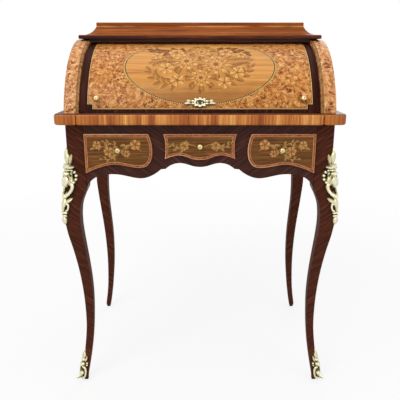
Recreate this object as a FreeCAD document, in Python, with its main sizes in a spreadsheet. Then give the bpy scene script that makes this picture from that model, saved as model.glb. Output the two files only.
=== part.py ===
import FreeCAD, Part
import os
import re
import Sketcher
from FreeCAD import Vector

# A lady's cylinder desk: four cabriole legs, a frieze with three shaped drawers, a plate whose
# middle pulls out as a writing slide, and a solid curved fall that rolls up and back on two pivots.
# Millimetres. The origin is on the floor under the middle of the plate, +Z is up, -Y is the front.
SIZES = {
    # Plate and case
    "plate_width": 700,
    "plate_depth": 485,
    "plate_height": 744,
    "plate_thickness": 26,
    "plate_corner": 12,
    "plate_rail_width": 54,
    "plate_side_overhang": 22,
    "plate_front_overhang": 25,
    "plate_back_overhang": 15.5,
    "case_side_thickness": 35,
    "case_back_thickness": 12,
    # Legs and aprons
    "leg_post": 44,
    "leg_sweep": 15.6,
    "apron_thickness": 20,
    "frieze_depth": 135.2,
    "knee_mount_length": 192,
    "knee_mount_half_width": 27,
    "knee_mount_thickness": 10.5,
    "knee_mount_bed": 24,
    "knee_mount_drop": 59,
    "sabot_height": 88,
    "sabot_low": 4,
    "sabot_half_width": 15.5,
    "sabot_thickness": 13,
    "sabot_bed": 10,
    # Frieze drawers
    "drawer_top_drop": 23.8,
    "drawer_spacing": 27.6,
    "drawer_lip": 14,
    "drawer_edge_lip": 4,
    "drawer_front_proud": 6,
    "drawer_tongue": 12,
    "drawer_back_gap": 82.8,
    "drawer_wall": 8,
    "drawer_floor": 5,
    "drawer_play": 1,
    "middle_drawer_half": 89.7,
    "middle_drawer_height": 63.4,
    "middle_box_lift": 15,
    "middle_knob_drop": 29,
    "side_drawer_height": 97.2,
    "side_box_lift": 27.5,
    "side_knob_drop": 38,
    "runner_width": 20,
    "runner_height": 16,
    # Writing slide
    "slide_thickness": 22,
    "slide_back_gap": 44.8,
    "slide_arm_gap": 3,
    "leather_border": 26,
    "leather_thickness": 1.4,
    "bearer_width": 19,
    "bearer_height": 20,
    # Cylinder fall, its arms and pivots
    "fall_axis_drop": 63.6,
    "fall_axis_setback": 10.2,
    "fall_front_setback": 31.9,
    "fall_thickness": 16,
    "fall_recess": 9,
    "fall_top_angle": 88,
    "fall_end_gap": 1.5,
    "fall_rest_gap": 0.8,
    "arm_thickness": 5,
    "arm_inset": 2.5,
    "arm_rim": 14,
    "arm_hub_radius": 16,
    "arm_spoke": 18,
    "arm_low_angle": 30,
    "arm_high_angle": 80,
    "pivot_radius": 6,
    "pivot_play": 0.05,
    "pivot_collar_radius": 10,
    "pivot_plate_radius": 20,
    "pivot_plate_thickness": 3,
    "fall_knob_rise": 29.5,
    "fall_knob_inset": 41.5,
    "escutcheon_rise": 22.5,
    "escutcheon_length": 78,
    "escutcheon_height": 26,
    "escutcheon_thickness": 4,
    "keyhole_radius": 2.4,
    "keyhole_slot": 2.4,
    "keyhole_length": 8,
    "lock_rise": 40,
    "lock_width": 60,
    "lock_height": 30,
    "lock_depth": 12,
    "lock_sink": 1,
    # Knobs
    "knob_radius": 6.5,
    "knob_length": 16,
    "small_knob_radius": 4.5,
    "small_knob_length": 12,
    # Cap
    "cap_inset": 8,
    "cap_reach": 57.7,
    "cap_base_thickness": 8.5,
    "cap_cove_height": 24.5,
    "cap_cove_run": 41,
    "cap_wall": 9,
    "cap_top_thickness": 10,
    "cap_rail_setback": 11.5,
    "cap_rail_depth": 14,
    # Fittings behind the fall
    "interior_lift": 1.2,
    "interior_floor": 7,
    "interior_board": 6,
    "interior_setback": 20,
    "interior_wing_setback": 122,
    "interior_arm_gap": 4,
    "interior_swing_gap": 5,
    "interior_drawer_width": 176,
    "interior_drawer_wall": 5,
    # Clearances and the overrun of cuts
    "seat_gap": 0.3,
    "bed_gap": 0.2,
    "cut_overrun": 5,
}

# How high the shelf and the top of the inner fittings stand over the fall's axis, as shares of
# the room inside its swing.
SHELF_SHARE = 0.602
INTERIOR_TOP_SHARE = 0.88

# Places that follow from the sizes.
DERIVED = {
    "plate_half": "plate_width / 2",
    "plate_front": "-plate_depth / 2",
    "plate_back": "plate_depth / 2",
    "plate_under": "plate_height - plate_thickness",
    "plate_rail_inner": "plate_half - plate_rail_width",
    "case_half": "plate_half - plate_side_overhang",
    "case_front": "plate_front + plate_front_overhang",
    "case_rear": "plate_back - plate_back_overhang",
    "case_middle": "(case_front + case_rear) / 2",
    "case_inner": "case_half - case_side_thickness",
    "case_back_front": "case_rear - case_back_thickness",
    "post_inner": "case_half - leg_post",
    "apron_inner": "case_half - apron_thickness",
    "rail_back": "case_front + apron_thickness",
    "rear_apron_front": "case_rear - apron_thickness",
    "leg_blank": "leg_post + 4 * leg_sweep",
    "knee_mount_low": "plate_under - knee_mount_drop - knee_mount_length",
    "drawer_top": "plate_under - drawer_top_drop",
    "hole_top": "drawer_top - drawer_edge_lip",
    "lip_back": "case_front - seat_gap",
    "lip_front": "lip_back - drawer_front_proud",
    "tongue_back": "lip_back + drawer_tongue",
    "box_back": "rear_apron_front - drawer_back_gap",
    "side_drawer_low": "drawer_top - side_drawer_height",
    "side_drawer_inner": "middle_drawer_half + drawer_spacing",
    "side_drawer_outer": "post_inner - drawer_play",
    "side_drawer_width": "side_drawer_outer - side_drawer_inner",
    "side_hole_inner": "side_drawer_inner + drawer_lip",
    "side_hole_outer": "post_inner - drawer_edge_lip",
    "side_hole_low": "side_drawer_low + side_box_lift",
    "middle_drawer_low": "drawer_top - middle_drawer_height",
    "middle_hole_half": "middle_drawer_half - drawer_lip",
    "middle_hole_low": "middle_drawer_low + middle_box_lift",
    "slide_under": "plate_height - slide_thickness",
    "slide_half": "arm_inner - slide_arm_gap",
    "slide_front": "lip_back",
    "slide_back": "rear_apron_front - slide_back_gap",
    "axis_y": "fall_axis_setback",
    "axis_z": "plate_height - fall_axis_drop",
    "fall_run": "plate_depth / 2 - fall_front_setback + fall_axis_setback",
    "fall_radius": "sqrt(fall_run ^ 2 + fall_low ^ 2)",
    "case_radius": "fall_radius + fall_recess",
    "case_top": "axis_z + case_radius",
    "fall_half": "case_inner - fall_end_gap",
    "fall_inner_radius": "fall_radius - fall_thickness",
    "fall_low": "fall_axis_drop + fall_rest_gap",
    "fall_knob_place": "fall_half - fall_knob_inset",
    "fall_knob_angle": "asin((fall_low + fall_knob_rise) / fall_radius)",
    "escutcheon_angle": "asin((fall_low + escutcheon_rise) / fall_radius)",
    "lock_angle": "asin((fall_low + lock_rise) / fall_radius)",
    "arm_outer": "fall_half - arm_inset",
    "arm_inner": "arm_outer - arm_thickness",
    "arm_radius": "fall_inner_radius - bed_gap",
    "arm_middle_angle": "(arm_low_angle + arm_high_angle) / 2",
    "cap_half": "case_half - cap_inset",
    "cap_front": "axis_y - cap_reach",
    "cap_mitre": "cap_cove_run + cap_wall",
    "cap_base_top": "case_top + cap_base_thickness",
    "cap_cove_top": "cap_base_top + cap_cove_height",
    "interior_front": "axis_y + interior_setback",
    "interior_wing": "axis_y + interior_wing_setback",
    "interior_half": "arm_inner - interior_arm_gap",
    "interior_low": "plate_height + interior_lift",
    "interior_floor_top": "interior_low + interior_floor",
    "swing_radius": "fall_inner_radius - interior_swing_gap",
    "shelf_low": f"axis_z + swing_radius * {SHELF_SHARE}",
    "shelf_top": "shelf_low + interior_board",
    "interior_top_high": f"axis_z + swing_radius * {INTERIOR_TOP_SHARE}",
    "interior_top_low": "interior_top_high - interior_board",
    "lower_back": "axis_y + sqrt(swing_radius ^ 2 - (shelf_top - axis_z) ^ 2)",
    "upper_back": "axis_y + sqrt(swing_radius ^ 2 - (interior_top_high - axis_z) ^ 2)",
    "small_hole_outer": "interior_half - interior_board",
    "small_hole_inner": "small_hole_outer - interior_drawer_width",
    "small_front_back": "interior_front + interior_board",
}

doc = FreeCAD.newDocument("cylinder_desk")
sheet = doc.addObject("Spreadsheet::Sheet", "sizes")
for row, (alias, size) in enumerate(SIZES.items(), start=1):
    sheet.set(f"A{row}", alias)
    sheet.set(f"B{row}", str(size))
    sheet.setAlias(f"B{row}", alias)
doc.recompute()

nodes = []


def formula(text):
    """Writes a formula out for the sheet: derived places become their own formulas."""
    def word(match):
        name = match.group(0)
        if name in DERIVED:
            return f"({formula(DERIVED[name])})"
        return f"sizes.{name}" if name in SIZES else name
    return re.sub(r"[a-z][a-z_]*", word, text)


def value(text):
    """The number that a formula gives with the sheet as it is."""
    return float(sheet.evalExpression(formula(text)))


def bind(thing, prop, text):
    """Ties a property to the sheet."""
    thing.setExpression(prop, formula(text))


def node(thing, label):
    """Names a finished sub-part, which is then written to a file of its own."""
    thing.Label = label
    nodes.append(thing)
    return thing


def board(name, x_span, y_span, z_span):
    """A square-edged board between two planes on each axis."""
    box = doc.addObject("Part::Box", name)
    spans = (("Length", "x", x_span), ("Width", "y", y_span), ("Height", "z", z_span))
    for prop, axis, (low, high) in spans:
        bind(box, prop, f"({high}) - ({low})")
        bind(box, f"Placement.Base.{axis}", low)
    return box


def across(half):
    """The span from left to right of a board that is centred on the desk."""
    return f"-({half})", half


def mirrored(name, source, plane="x"):
    """The other hand of a piece, across the desk's middle, or from its front to its back."""
    copy = doc.addObject("Part::Mirroring", name)
    copy.Source = source
    copy.Normal = Vector(1, 0, 0) if plane == "x" else Vector(0, 1, 0)
    if plane == "y":
        bind(copy, "Base.y", "case_middle")
    return copy


def group(name, *members):
    """Like pieces that share one node and stay separate solids."""
    compound = doc.addObject("Part::Compound", name)
    compound.Links = list(members)
    return compound


def pair(name, right):
    """A right-hand piece and its mirror image in one node."""
    return group(name, right, mirrored(f"{name}_left", right))


def sketch_on(body, role, name, offset="0"):
    """A sketch on one of the body's own origin planes, moved along the plane's normal."""
    sketch = body.newObject("Sketcher::SketchObject", name)
    plane = next(item for item in body.Origin.OriginFeatures if item.Role == role)
    sketch.AttachmentSupport = (plane, [""])
    sketch.MapMode = "FlatFace"
    bind(sketch, "AttachmentOffset.Base.z", offset)
    return sketch


def point(pair_of_formulas):
    """A sketch point from its two formulas."""
    return Vector(value(pair_of_formulas[0]), value(pair_of_formulas[1]), 0)


def draw(sketch, edges):
    """Draws a closed outline. Each edge is its start and the inner points of its curve: none for
    a straight edge, one for an arc, more for a smooth curve. Starts are tied to the sheet."""
    ids = []
    for index, (start, inner) in enumerate(edges):
        end = edges[(index + 1) % len(edges)][0]
        points = [point(start), *map(point, inner), point(end)]
        if not inner:
            curve = Part.LineSegment(*points)
        elif len(inner) == 1:
            curve = Part.Arc(*points)
        else:
            curve = Part.BSplineCurve()
            curve.interpolate(points)
        ids.append(sketch.addGeometry(curve, False))
    for index, (start, inner) in enumerate(edges):
        # An arc's own start may be its last point, because a sketch keeps arcs turning one way.
        here = nearest_end(sketch, ids[index], point(start))
        before = nearest_end(sketch, ids[index - 1], point(start))
        sketch.addConstraint(Sketcher.Constraint("Coincident", ids[index - 1], before, ids[index], here))
        for kind, text in zip(("DistanceX", "DistanceY"), start):
            place = Sketcher.Constraint(kind, -1, 1, ids[index], here, value(text))
            number = sketch.addConstraint(place)
            bind(sketch, f"Constraints[{number}]", text)


def nearest_end(sketch, edge, place):
    """Which end of an edge, 1 or 2, lies at a place."""
    gaps = [sketch.getPoint(edge, end).distanceToPoint(place) for end in (1, 2)]
    return 1 if gaps[0] < gaps[1] else 2


def circle(sketch, centre, radius):
    """Draws a circle tied to the sheet."""
    number = sketch.addGeometry(Part.Circle(point(centre), Vector(0, 0, 1), value(radius)), False)
    for kind, text in zip(("DistanceX", "DistanceY"), centre):
        place = Sketcher.Constraint(kind, -1, 1, number, 3, value(text))
        bind(sketch, f"Constraints[{sketch.addConstraint(place)}]", text)
    size = sketch.addConstraint(Sketcher.Constraint("Radius", number, value(radius)))
    bind(sketch, f"Constraints[{size}]", radius)


def pad(body, sketch, length, reverse=False, midplane=False):
    """Raises a sketch into a solid along its plane's normal."""
    feature = body.newObject("PartDesign::Pad", f"{sketch.Name}_pad")
    feature.Profile = sketch
    bind(feature, "Length", length)
    feature.Reversed = reverse
    feature.Midplane = midplane
    return feature


def pocket(body, sketch):
    """Cuts a sketch right through the body, both ways from its plane."""
    doc.recompute()
    before = body.Shape.Volume
    feature = body.newObject("PartDesign::Pocket", f"{sketch.Name}_pocket")
    feature.Profile = sketch
    feature.Type = "ThroughAll"
    feature.Midplane = True
    doc.recompute()
    if not body.Shape.Volume < before:
        raise ValueError(f"{body.Name}: {sketch.Name} cuts nothing")
    return feature


def new_body(name):
    """An empty body."""
    return doc.addObject("PartDesign::Body", name)


def plate_of(name, role, edges, low, thickness):
    """A flat piece of one outline: it stands on the plane at low and is raised by its thickness."""
    body = new_body(name)
    sketch = sketch_on(body, role, f"{name}_outline", low)
    draw(sketch, edges)
    pad(body, sketch, thickness)
    return body


def polygon(*corners):
    """Straight edges from corner to corner."""
    return [(corner, []) for corner in corners]


def rectangle(x_span, y_span):
    """A rectangle from its spans on the sketch's two axes."""
    (left, right), (low, high) = x_span, y_span
    return polygon((left, low), (right, low), (right, high), (left, high))


def on_cylinder(radius, angle):
    """The (Y, Z) place on a cylinder about the fall's axis. The angle rises from the front."""
    return f"axis_y - ({radius}) * cos({angle})", f"axis_z + ({radius}) * sin({angle})"


# Legs. A front leg is sawn to one curve from the front and to the same curve from the side, so that
# it sweeps out at the knee and in at the ankle along its diagonal. A rear leg has a curve of its own
# from the front, which stands further out at the foot. Heights are shares of the leg, offsets are
# outwards from the case's face: the outer edge in shares of the sweep, the inner one of the post.
LEG_OUTER_SHARES = (
    (0.836, 0.0), (0.766, 0.45), (0.696, 0.94), (0.621, 0.70), (0.545, 0.09), (0.467, -0.44), (0.387, -0.80),
    (0.305, -0.98), (0.221, -0.95), (0.135, -0.56), (0.07, -0.13), (0.03, 0.15), (0.012, 0.08), (0.0, -0.15),
)
LEG_INNER_SHARES = (
    (0.0, -0.29), (0.012, -0.30), (0.05, -0.405), (0.10, -0.545), (0.151, -0.665), (0.217, -0.774),
    (0.284, -0.838), (0.351, -0.866), (0.419, -0.836), (0.487, -0.759), (0.554, -0.661), (0.60, -0.595),
    (0.648, -0.551), (0.69, -0.57), (0.72, -0.64), (0.745, -0.78), (0.774, -1.0),
)
REAR_OUTER_SHARES = (
    (0.836, 0.0), (0.766, 0.60), (0.70, 1.10), (0.66, 1.16), (0.583, 0.82), (0.507, 0.35), (0.43, -0.09),
    (0.349, -0.37), (0.265, -0.44), (0.176, -0.27), (0.13, -0.10), (0.082, 0.19), (0.034, 0.57),
    (0.012, 0.70), (0.0, 0.52),
)
REAR_INNER_SHARES = (
    (0.0, -0.05), (0.026, -0.134), (0.074, -0.275), (0.121, -0.395), (0.166, -0.488), (0.254, -0.629),
    (0.336, -0.675), (0.416, -0.641), (0.492, -0.532), (0.568, -0.414), (0.644, -0.379), (0.69, -0.42),
    (0.72, -0.53), (0.745, -0.72), (0.774, -1.0),
)


def leg_outline(place, outer_shares=LEG_OUTER_SHARES, inner_shares=LEG_INNER_SHARES):
    """The leg's outline in one view. place turns an outward offset into the view's own coordinate."""
    outer = [(place(f"leg_sweep * {out}"), f"plate_under * {up}") for up, out in outer_shares]
    inner = [(place(f"leg_post * {out}"), f"plate_under * {up}") for up, out in inner_shares]
    top_inner = (place("-leg_post"), "plate_under")
    top_outer = (place("0"), "plate_under")
    return [
        (outer[0], outer[1:-1]), (outer[-1], []), (inner[0], inner[1:-1]), (inner[-1], []),
        (top_inner, []), (top_outer, []),
    ]


def from_side(offset):
    """An outward offset as seen from the front, on the right."""
    return f"case_half + ({offset})"


def from_front(offset):
    """An outward offset as seen from the side, at the front."""
    return f"case_front - ({offset})"


def from_rear(offset):
    """An outward offset as seen from the side, at the rear."""
    return f"case_rear + ({offset})"


def make_leg(name, from_the_front, from_the_side, face):
    """A right leg at a face of the case, sawn to one outline from the front and one from the side."""
    body = new_body(name)
    front = sketch_on(body, "XZ_Plane", f"{name}_from_front", f"-({face})")
    draw(front, from_the_front)
    pad(body, front, "2 * leg_blank", midplane=True)
    side = sketch_on(body, "YZ_Plane", f"{name}_from_side", "case_half")
    draw(side, rectangle(
        (f"{face} - 2 * leg_blank", f"{face} + 2 * leg_blank"),
        ("-cut_overrun", "plate_under + cut_overrun"),
    ))
    draw(side, from_the_side)
    pocket(body, side)
    return body


front_right_leg = node(make_leg(
    "front_right_leg", leg_outline(from_side), leg_outline(from_front), "case_front"), "front_right_leg")
node(mirrored("front_left_leg", front_right_leg), "front_left_leg")
rear_right_leg = node(make_leg(
    "rear_right_leg", leg_outline(from_side, REAR_OUTER_SHARES, REAR_INNER_SHARES),
    leg_outline(from_rear), "case_rear"), "rear_right_leg")
node(mirrored("rear_left_leg", rear_right_leg), "rear_left_leg")

# Gilt castings on the front legs' outer corners. Each hugs the corner of its leg, and its leafy
# outline is cut square to the corner: height, half width and outward reach in shares of the casting's own.
KNEE_MOUNT_SHARES = (
    (0.0, 0.06, 0.25), (0.05, 0.25, 0.52), (0.09, 0.20, 0.56), (0.13, 0.30, 0.62), (0.18, 0.26, 0.62),
    (0.24, 0.48, 0.66), (0.30, 0.40, 0.66), (0.35, 0.65, 0.70), (0.40, 0.44, 0.76), (0.47, 0.72, 0.85),
    (0.55, 0.84, 0.95), (0.62, 0.98, 1.0), (0.70, 0.80, 1.0), (0.77, 0.66, 1.0), (0.82, 0.42, 0.75),
    (0.89, 0.51, 0.55), (0.95, 0.24, 0.40), (1.0, 0.08, 0.20),
)
SABOT_SHARES = (
    (0.0, 0.75, 0.40), (0.09, 0.95, 0.75), (0.19, 1.0, 1.0), (0.32, 0.95, 0.70), (0.48, 0.70, 0.58),
    (0.58, 0.78, 0.48), (0.70, 0.50, 0.38), (0.85, 0.40, 0.25), (1.0, 0.10, 0.15),
)


def corner_casting(name, low, height, half_width, thickness, bed, shares):
    """A casting on the outer corner of the front right leg, from its shares. bed is how far it is
    carried back over each face from the corner before the wood is cut out of it."""
    low, height, half_width = value(low), value(height), value(half_width)
    thickness, bed = value(thickness), value(bed)
    leg_height, sweep, post = value("plate_under"), value("leg_sweep"), value("leg_post")
    overrun, half, front = value("cut_overrun"), value("case_half"), value("case_front")

    wood = Part.BSplineCurve()
    wood.interpolate([Vector(out * sweep, 0, up * leg_height) for up, out in LEG_OUTER_SHARES])

    def wood_offset(up):
        """The leg's outward offset at a height."""
        if up >= LEG_OUTER_SHARES[0][0] * leg_height:
            return 0.0
        level = Part.LineSegment(Vector(-2 * post, 0, up), Vector(2 * post, 0, up))
        return wood.toShape().distToShape(level.toShape())[1][0][0].x

    skin = []
    for share, _, reach_share in shares:
        up = low + share * height
        skin.append((wood_offset(up) + thickness * reach_share, up))

    def blank(place, turn):
        """The casting's block as seen from one side, run out along that view."""
        curve = Part.BSplineCurve()
        curve.interpolate([place(out, up) for out, up in skin])
        behind = Part.BSplineCurve()
        behind.interpolate([place(wood_offset(up) - bed, up) for _, up in reversed(skin)])
        foot, head = behind.EndPoint, behind.StartPoint
        edges = [curve.toShape(), Part.LineSegment(place(*skin[-1]), head).toShape(),
                 behind.toShape(), Part.LineSegment(foot, place(*skin[0])).toShape()]
        return Part.Face(Part.Wire(edges)).extrude(turn)

    reach = 2 * post
    from_the_front = blank(lambda out, up: Vector(half + out, front - reach, up), Vector(0, 2 * reach, 0))
    from_the_side = blank(lambda out, up: Vector(half - reach, front - out, up), Vector(2 * reach, 0, 0))
    # The outline stands on the diagonal plane through the corner and is run along the diagonal.
    along, out = Vector(1, 1, 0).normalize(), Vector(1, -1, 0).normalize()
    corner = Vector(half, front, 0) - out * reach
    right = [corner + along * half_width * wide + Vector(0, 0, low + up * height) for up, wide, _ in shares]
    left = [corner - along * half_width * wide + Vector(0, 0, low + up * height) for up, wide, _ in shares]
    edges = []
    for side_points in (right, left[::-1]):
        curve = Part.BSplineCurve()
        curve.interpolate(side_points)
        edges.append(curve.toShape())
    edges.insert(1, Part.LineSegment(right[-1], left[-1]).toShape())
    edges.append(Part.LineSegment(left[0], right[0]).toShape())
    outline = Part.Face(Part.Wire(edges)).extrude(out * (2 * reach + overrun))
    doc.recompute()
    shape = from_the_front.common(from_the_side).common(outline).cut(front_right_leg.Shape)
    piece = doc.addObject("Part::Feature", name)
    piece.Shape = max(shape.Solids, key=lambda solid: solid.Volume)
    return piece


node(pair("knee_mounts", corner_casting(
    "knee_mount_right", "knee_mount_low", "knee_mount_length",
    "knee_mount_half_width", "knee_mount_thickness", "knee_mount_bed", KNEE_MOUNT_SHARES)), "knee_mounts")
node(pair("sabots", corner_casting(
    "sabot_right", "sabot_low", "sabot_height",
    "sabot_half_width", "sabot_thickness", "sabot_bed", SABOT_SHARES)), "sabots")

# Frieze. Two rails and two dividers frame the drawers between the front legs. The lower edge runs
# from the middle to the leg: shares of half the opening, and of the frieze's depth below the plate.
FRIEZE_MIDDLE_SHARES = ((0.0, 0.786), (0.07, 0.765), (0.13, 0.726), (0.182, 0.713), (0.235, 0.735))
FRIEZE_STEP_SHARES = ((0.30, 0.822), (0.342, 0.83))
FRIEZE_OUTER_SHARES = (
    (0.42, 0.945), (0.507, 1.0), (0.60, 0.978), (0.69, 0.936), (0.769, 0.922), (0.85, 0.939),
)
FRIEZE_EAR_SHARES = ((0.901, 0.969), (0.958, 1.048), (1.0, 1.213))
APRON_SIDE_SHARES = ((0.0, 1.0), (0.15, 0.985), (0.35, 0.94), (0.55, 0.915), (0.72, 0.93))
APRON_BACK_SHARES = ((0.80, 0.90), (0.85, 0.925))


def lower_edge(shares, middle, half):
    """Points of an apron's lower edge on one side of its middle, from shares."""
    return [(f"{middle} + ({half}) * {along}", f"plate_under - frieze_depth * {down}")
            for along, down in shares]


def other_side(points, middle):
    """The same points on the other side of the middle, in turned order."""
    return [(f"2 * ({middle}) - ({along})", up) for along, up in reversed(points)]


node(board("frieze_top_rail", across("post_inner"), ("case_front", "rail_back"),
           ("hole_top", "plate_under")), "frieze_top_rail")

middle_points = lower_edge(FRIEZE_MIDDLE_SHARES, "0", "post_inner")
step_points = lower_edge(FRIEZE_STEP_SHARES, "0", "post_inner")
outer_points = lower_edge(FRIEZE_OUTER_SHARES + FRIEZE_EAR_SHARES, "0", "post_inner")
middle_curve = other_side(middle_points, "0") + middle_points[1:]
node(plate_of("frieze_lower_rail", "XZ_Plane", [
    (("-post_inner", "side_hole_low"), []),
    (("-post_inner", outer_points[-1][1]), other_side(outer_points[:-1], "0")),
    (other_side(step_points, "0")[0], []),
    (other_side(step_points, "0")[1], middle_curve),
    (step_points[0], []),
    (step_points[1], outer_points[:-1]),
    (("post_inner", outer_points[-1][1]), []),
    (("post_inner", "side_hole_low"), []),
    (("side_hole_inner", "side_hole_low"), []),
    (("side_hole_inner", "middle_hole_low"), []),
    (("-side_hole_inner", "middle_hole_low"), []),
    (("-side_hole_inner", "side_hole_low"), []),
], "-rail_back", "apron_thickness"), "frieze_lower_rail")

node(pair("frieze_dividers", board(
    "frieze_divider", ("middle_hole_half", "side_hole_inner"), ("case_front", "rail_back"),
    ("middle_hole_low", "hole_top"))), "frieze_dividers")

# Aprons at the sides and back, between the legs.
apron_half = "(case_rear - case_front) / 2 - leg_post"
apron_points = lower_edge(APRON_SIDE_SHARES + FRIEZE_EAR_SHARES, "case_middle", apron_half)
apron_low = apron_points[-1][1]
right_apron = node(plate_of("right_apron", "YZ_Plane", [
    ((f"case_middle - ({apron_half})", "plate_under"), []),
    ((f"case_middle - ({apron_half})", apron_low),
     other_side(apron_points[1:-1], "case_middle") + apron_points[:-1]),
    ((f"case_middle + ({apron_half})", apron_low), []),
    ((f"case_middle + ({apron_half})", "plate_under"), []),
], "apron_inner", "apron_thickness"), "right_apron")
node(mirrored("left_apron", right_apron), "left_apron")

back_points = lower_edge(APRON_BACK_SHARES + FRIEZE_EAR_SHARES, "0", "post_inner")
node(plate_of("rear_apron", "XZ_Plane", [
    (("-post_inner", "plate_under"), []),
    (("-post_inner", back_points[-1][1]), other_side(back_points[1:-1], "0")),
    (other_side(back_points[:1], "0")[0], []),
    (back_points[0], back_points[1:-1]),
    (("post_inner", back_points[-1][1]), []),
    (("post_inner", "plate_under"), []),
], "-case_rear", "apron_thickness"), "rear_apron")

# Runners under the drawers and bearers under the slide, from the front rails to the rear apron.
inside_depth = ("rail_back", "rear_apron_front")
side_runner_height = ("side_hole_low - runner_height", "side_hole_low")
runners = [
    board("runner_inner", ("side_hole_inner", "side_hole_inner + runner_width"), inside_depth,
          side_runner_height),
    board("runner_outer", ("side_hole_outer - runner_width", "side_hole_outer"), inside_depth,
          side_runner_height),
    board("runner_middle", ("middle_hole_half - runner_width", "middle_hole_half"), inside_depth,
          ("middle_hole_low - runner_height", "middle_hole_low")),
]
runners += [mirrored(f"{runner.Name}_left", runner) for runner in runners]
node(group("drawer_runners", *runners), "drawer_runners")
node(pair("slide_bearers", board(
    "slide_bearer", ("slide_half - bearer_width", "slide_half"), inside_depth,
    ("slide_under - seat_gap - bearer_height", "slide_under - seat_gap"))), "slide_bearers")

# Plate: two fixed side rails with rounded outer corners, and a rear rail between them.
corner_share = "(1 - sqrt(0.5))"
right_plate_rail = node(plate_of("right_plate_rail", "XY_Plane", [
    (("plate_rail_inner", "plate_front"), []),
    (("plate_half - plate_corner", "plate_front"),
     [(f"plate_half - plate_corner * {corner_share}", f"plate_front + plate_corner * {corner_share}")]),
    (("plate_half", "plate_front + plate_corner"), []),
    (("plate_half", "plate_back - plate_corner"),
     [(f"plate_half - plate_corner * {corner_share}", f"plate_back - plate_corner * {corner_share}")]),
    (("plate_half - plate_corner", "plate_back"), []),
    (("plate_rail_inner", "plate_back"), []),
], "plate_under", "plate_thickness"), "right_plate_rail")
node(mirrored("left_plate_rail", right_plate_rail), "left_plate_rail")
node(board("rear_plate_rail", across("plate_rail_inner"), ("rear_apron_front", "plate_back"),
           ("plate_under", "plate_height")), "rear_plate_rail")

# Case: two sides whose front edge is the quarter circle that the fall follows, and a back.
right_case_side = node(plate_of("right_case_side", "YZ_Plane", [
    (("axis_y - sqrt(case_radius ^ 2 - fall_axis_drop ^ 2)", "plate_height"),
     [(f"axis_y - case_radius * sqrt(0.5)", f"axis_z + case_radius * sqrt(0.5)")]),
    (("axis_y", "case_top"), []),
    (("case_rear", "case_top"), []),
    (("case_rear", "plate_height"), []),
], "case_inner", "case_side_thickness"), "right_case_side")
node(mirrored("left_case_side", right_case_side), "left_case_side")
node(board("case_back", across("case_inner"), ("case_back_front", "case_rear"),
           ("plate_height", "case_top")), "case_back")

# Cap: a base board, a mitred cove on three sides with a board behind it, a top, and a rail under
# the front edge.
COVE_SAG_SHARE = 0.13
COVE_NOSE_SHARE = 0.06


def cove_section(outer, inward):
    """The cove's section: outer is the cap's edge, inward the sign that leads away from it."""
    nose = f"{outer} {inward} cap_cove_run * {COVE_NOSE_SHARE}"
    head = f"{outer} {inward} cap_cove_run"
    wall = f"{outer} {inward} cap_mitre"
    middle = (f"{outer} {inward} cap_cove_run * (0.5 + {COVE_NOSE_SHARE} / 2 + {COVE_SAG_SHARE})",
              f"cap_base_top + cap_cove_height * (0.5 - {COVE_SAG_SHARE} * 1.6)")
    return [((outer, "cap_base_top"), []), ((wall, "cap_base_top"), []), ((wall, "cap_cove_top"), []),
            ((head, "cap_cove_top"), [middle]), ((nose, "cap_base_top + cap_cove_height * 0.06"), [])]


node(board("cap_base", across("cap_half"), ("cap_front", "case_rear"),
           ("case_top", "cap_base_top")), "cap_base")


def make_front_cove():
    """The front cove, cut to a mitre at both ends."""
    body = new_body("cap_front_cove")
    section = sketch_on(body, "YZ_Plane", "front_cove_section")
    draw(section, cove_section("cap_front", "+"))
    pad(body, section, "2 * cap_half", midplane=True)
    mitre = sketch_on(body, "XY_Plane", "front_cove_mitre", "cap_base_top")
    for side in ("", "-"):
        draw(mitre, polygon((f"{side}cap_half", "cap_front"), (f"{side}cap_half", "cap_front + cap_mitre"),
                            (f"{side}(cap_half - cap_mitre)", "cap_front + cap_mitre")))
    pocket(body, mitre)
    return body


def make_right_cove():
    """The right-hand cove, cut to a mitre at its front end and square at the back."""
    body = new_body("cap_right_cove")
    section = sketch_on(body, "XZ_Plane", "side_cove_section", "-case_rear")
    draw(section, cove_section("cap_half", "-"))
    pad(body, section, "case_rear - cap_front")
    mitre = sketch_on(body, "XY_Plane", "side_cove_mitre", "cap_base_top")
    draw(mitre, polygon(("cap_half", "cap_front"), ("cap_half - cap_mitre", "cap_front + cap_mitre"),
                        ("cap_half - cap_mitre", "cap_front")))
    pocket(body, mitre)
    return body


right_cove = make_right_cove()
node(group("cap_cove", make_front_cove(), right_cove, mirrored("cap_left_cove", right_cove)), "cap_cove")
node(board("cap_back", across("cap_half - cap_mitre"), ("case_rear - cap_wall", "case_rear"),
           ("cap_base_top", "cap_cove_top")), "cap_back")
node(board("cap_top", across("cap_half - cap_cove_run"), ("cap_front + cap_cove_run", "case_rear"),
           ("cap_cove_top", "cap_cove_top + cap_top_thickness")), "cap_top")
rail_front = "cap_front + cap_rail_setback"
node(board("cap_front_rail", across("case_inner"), (rail_front, f"{rail_front} + cap_rail_depth"),
           ("axis_z + fall_radius + seat_gap", "case_top")), "cap_front_rail")

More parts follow.
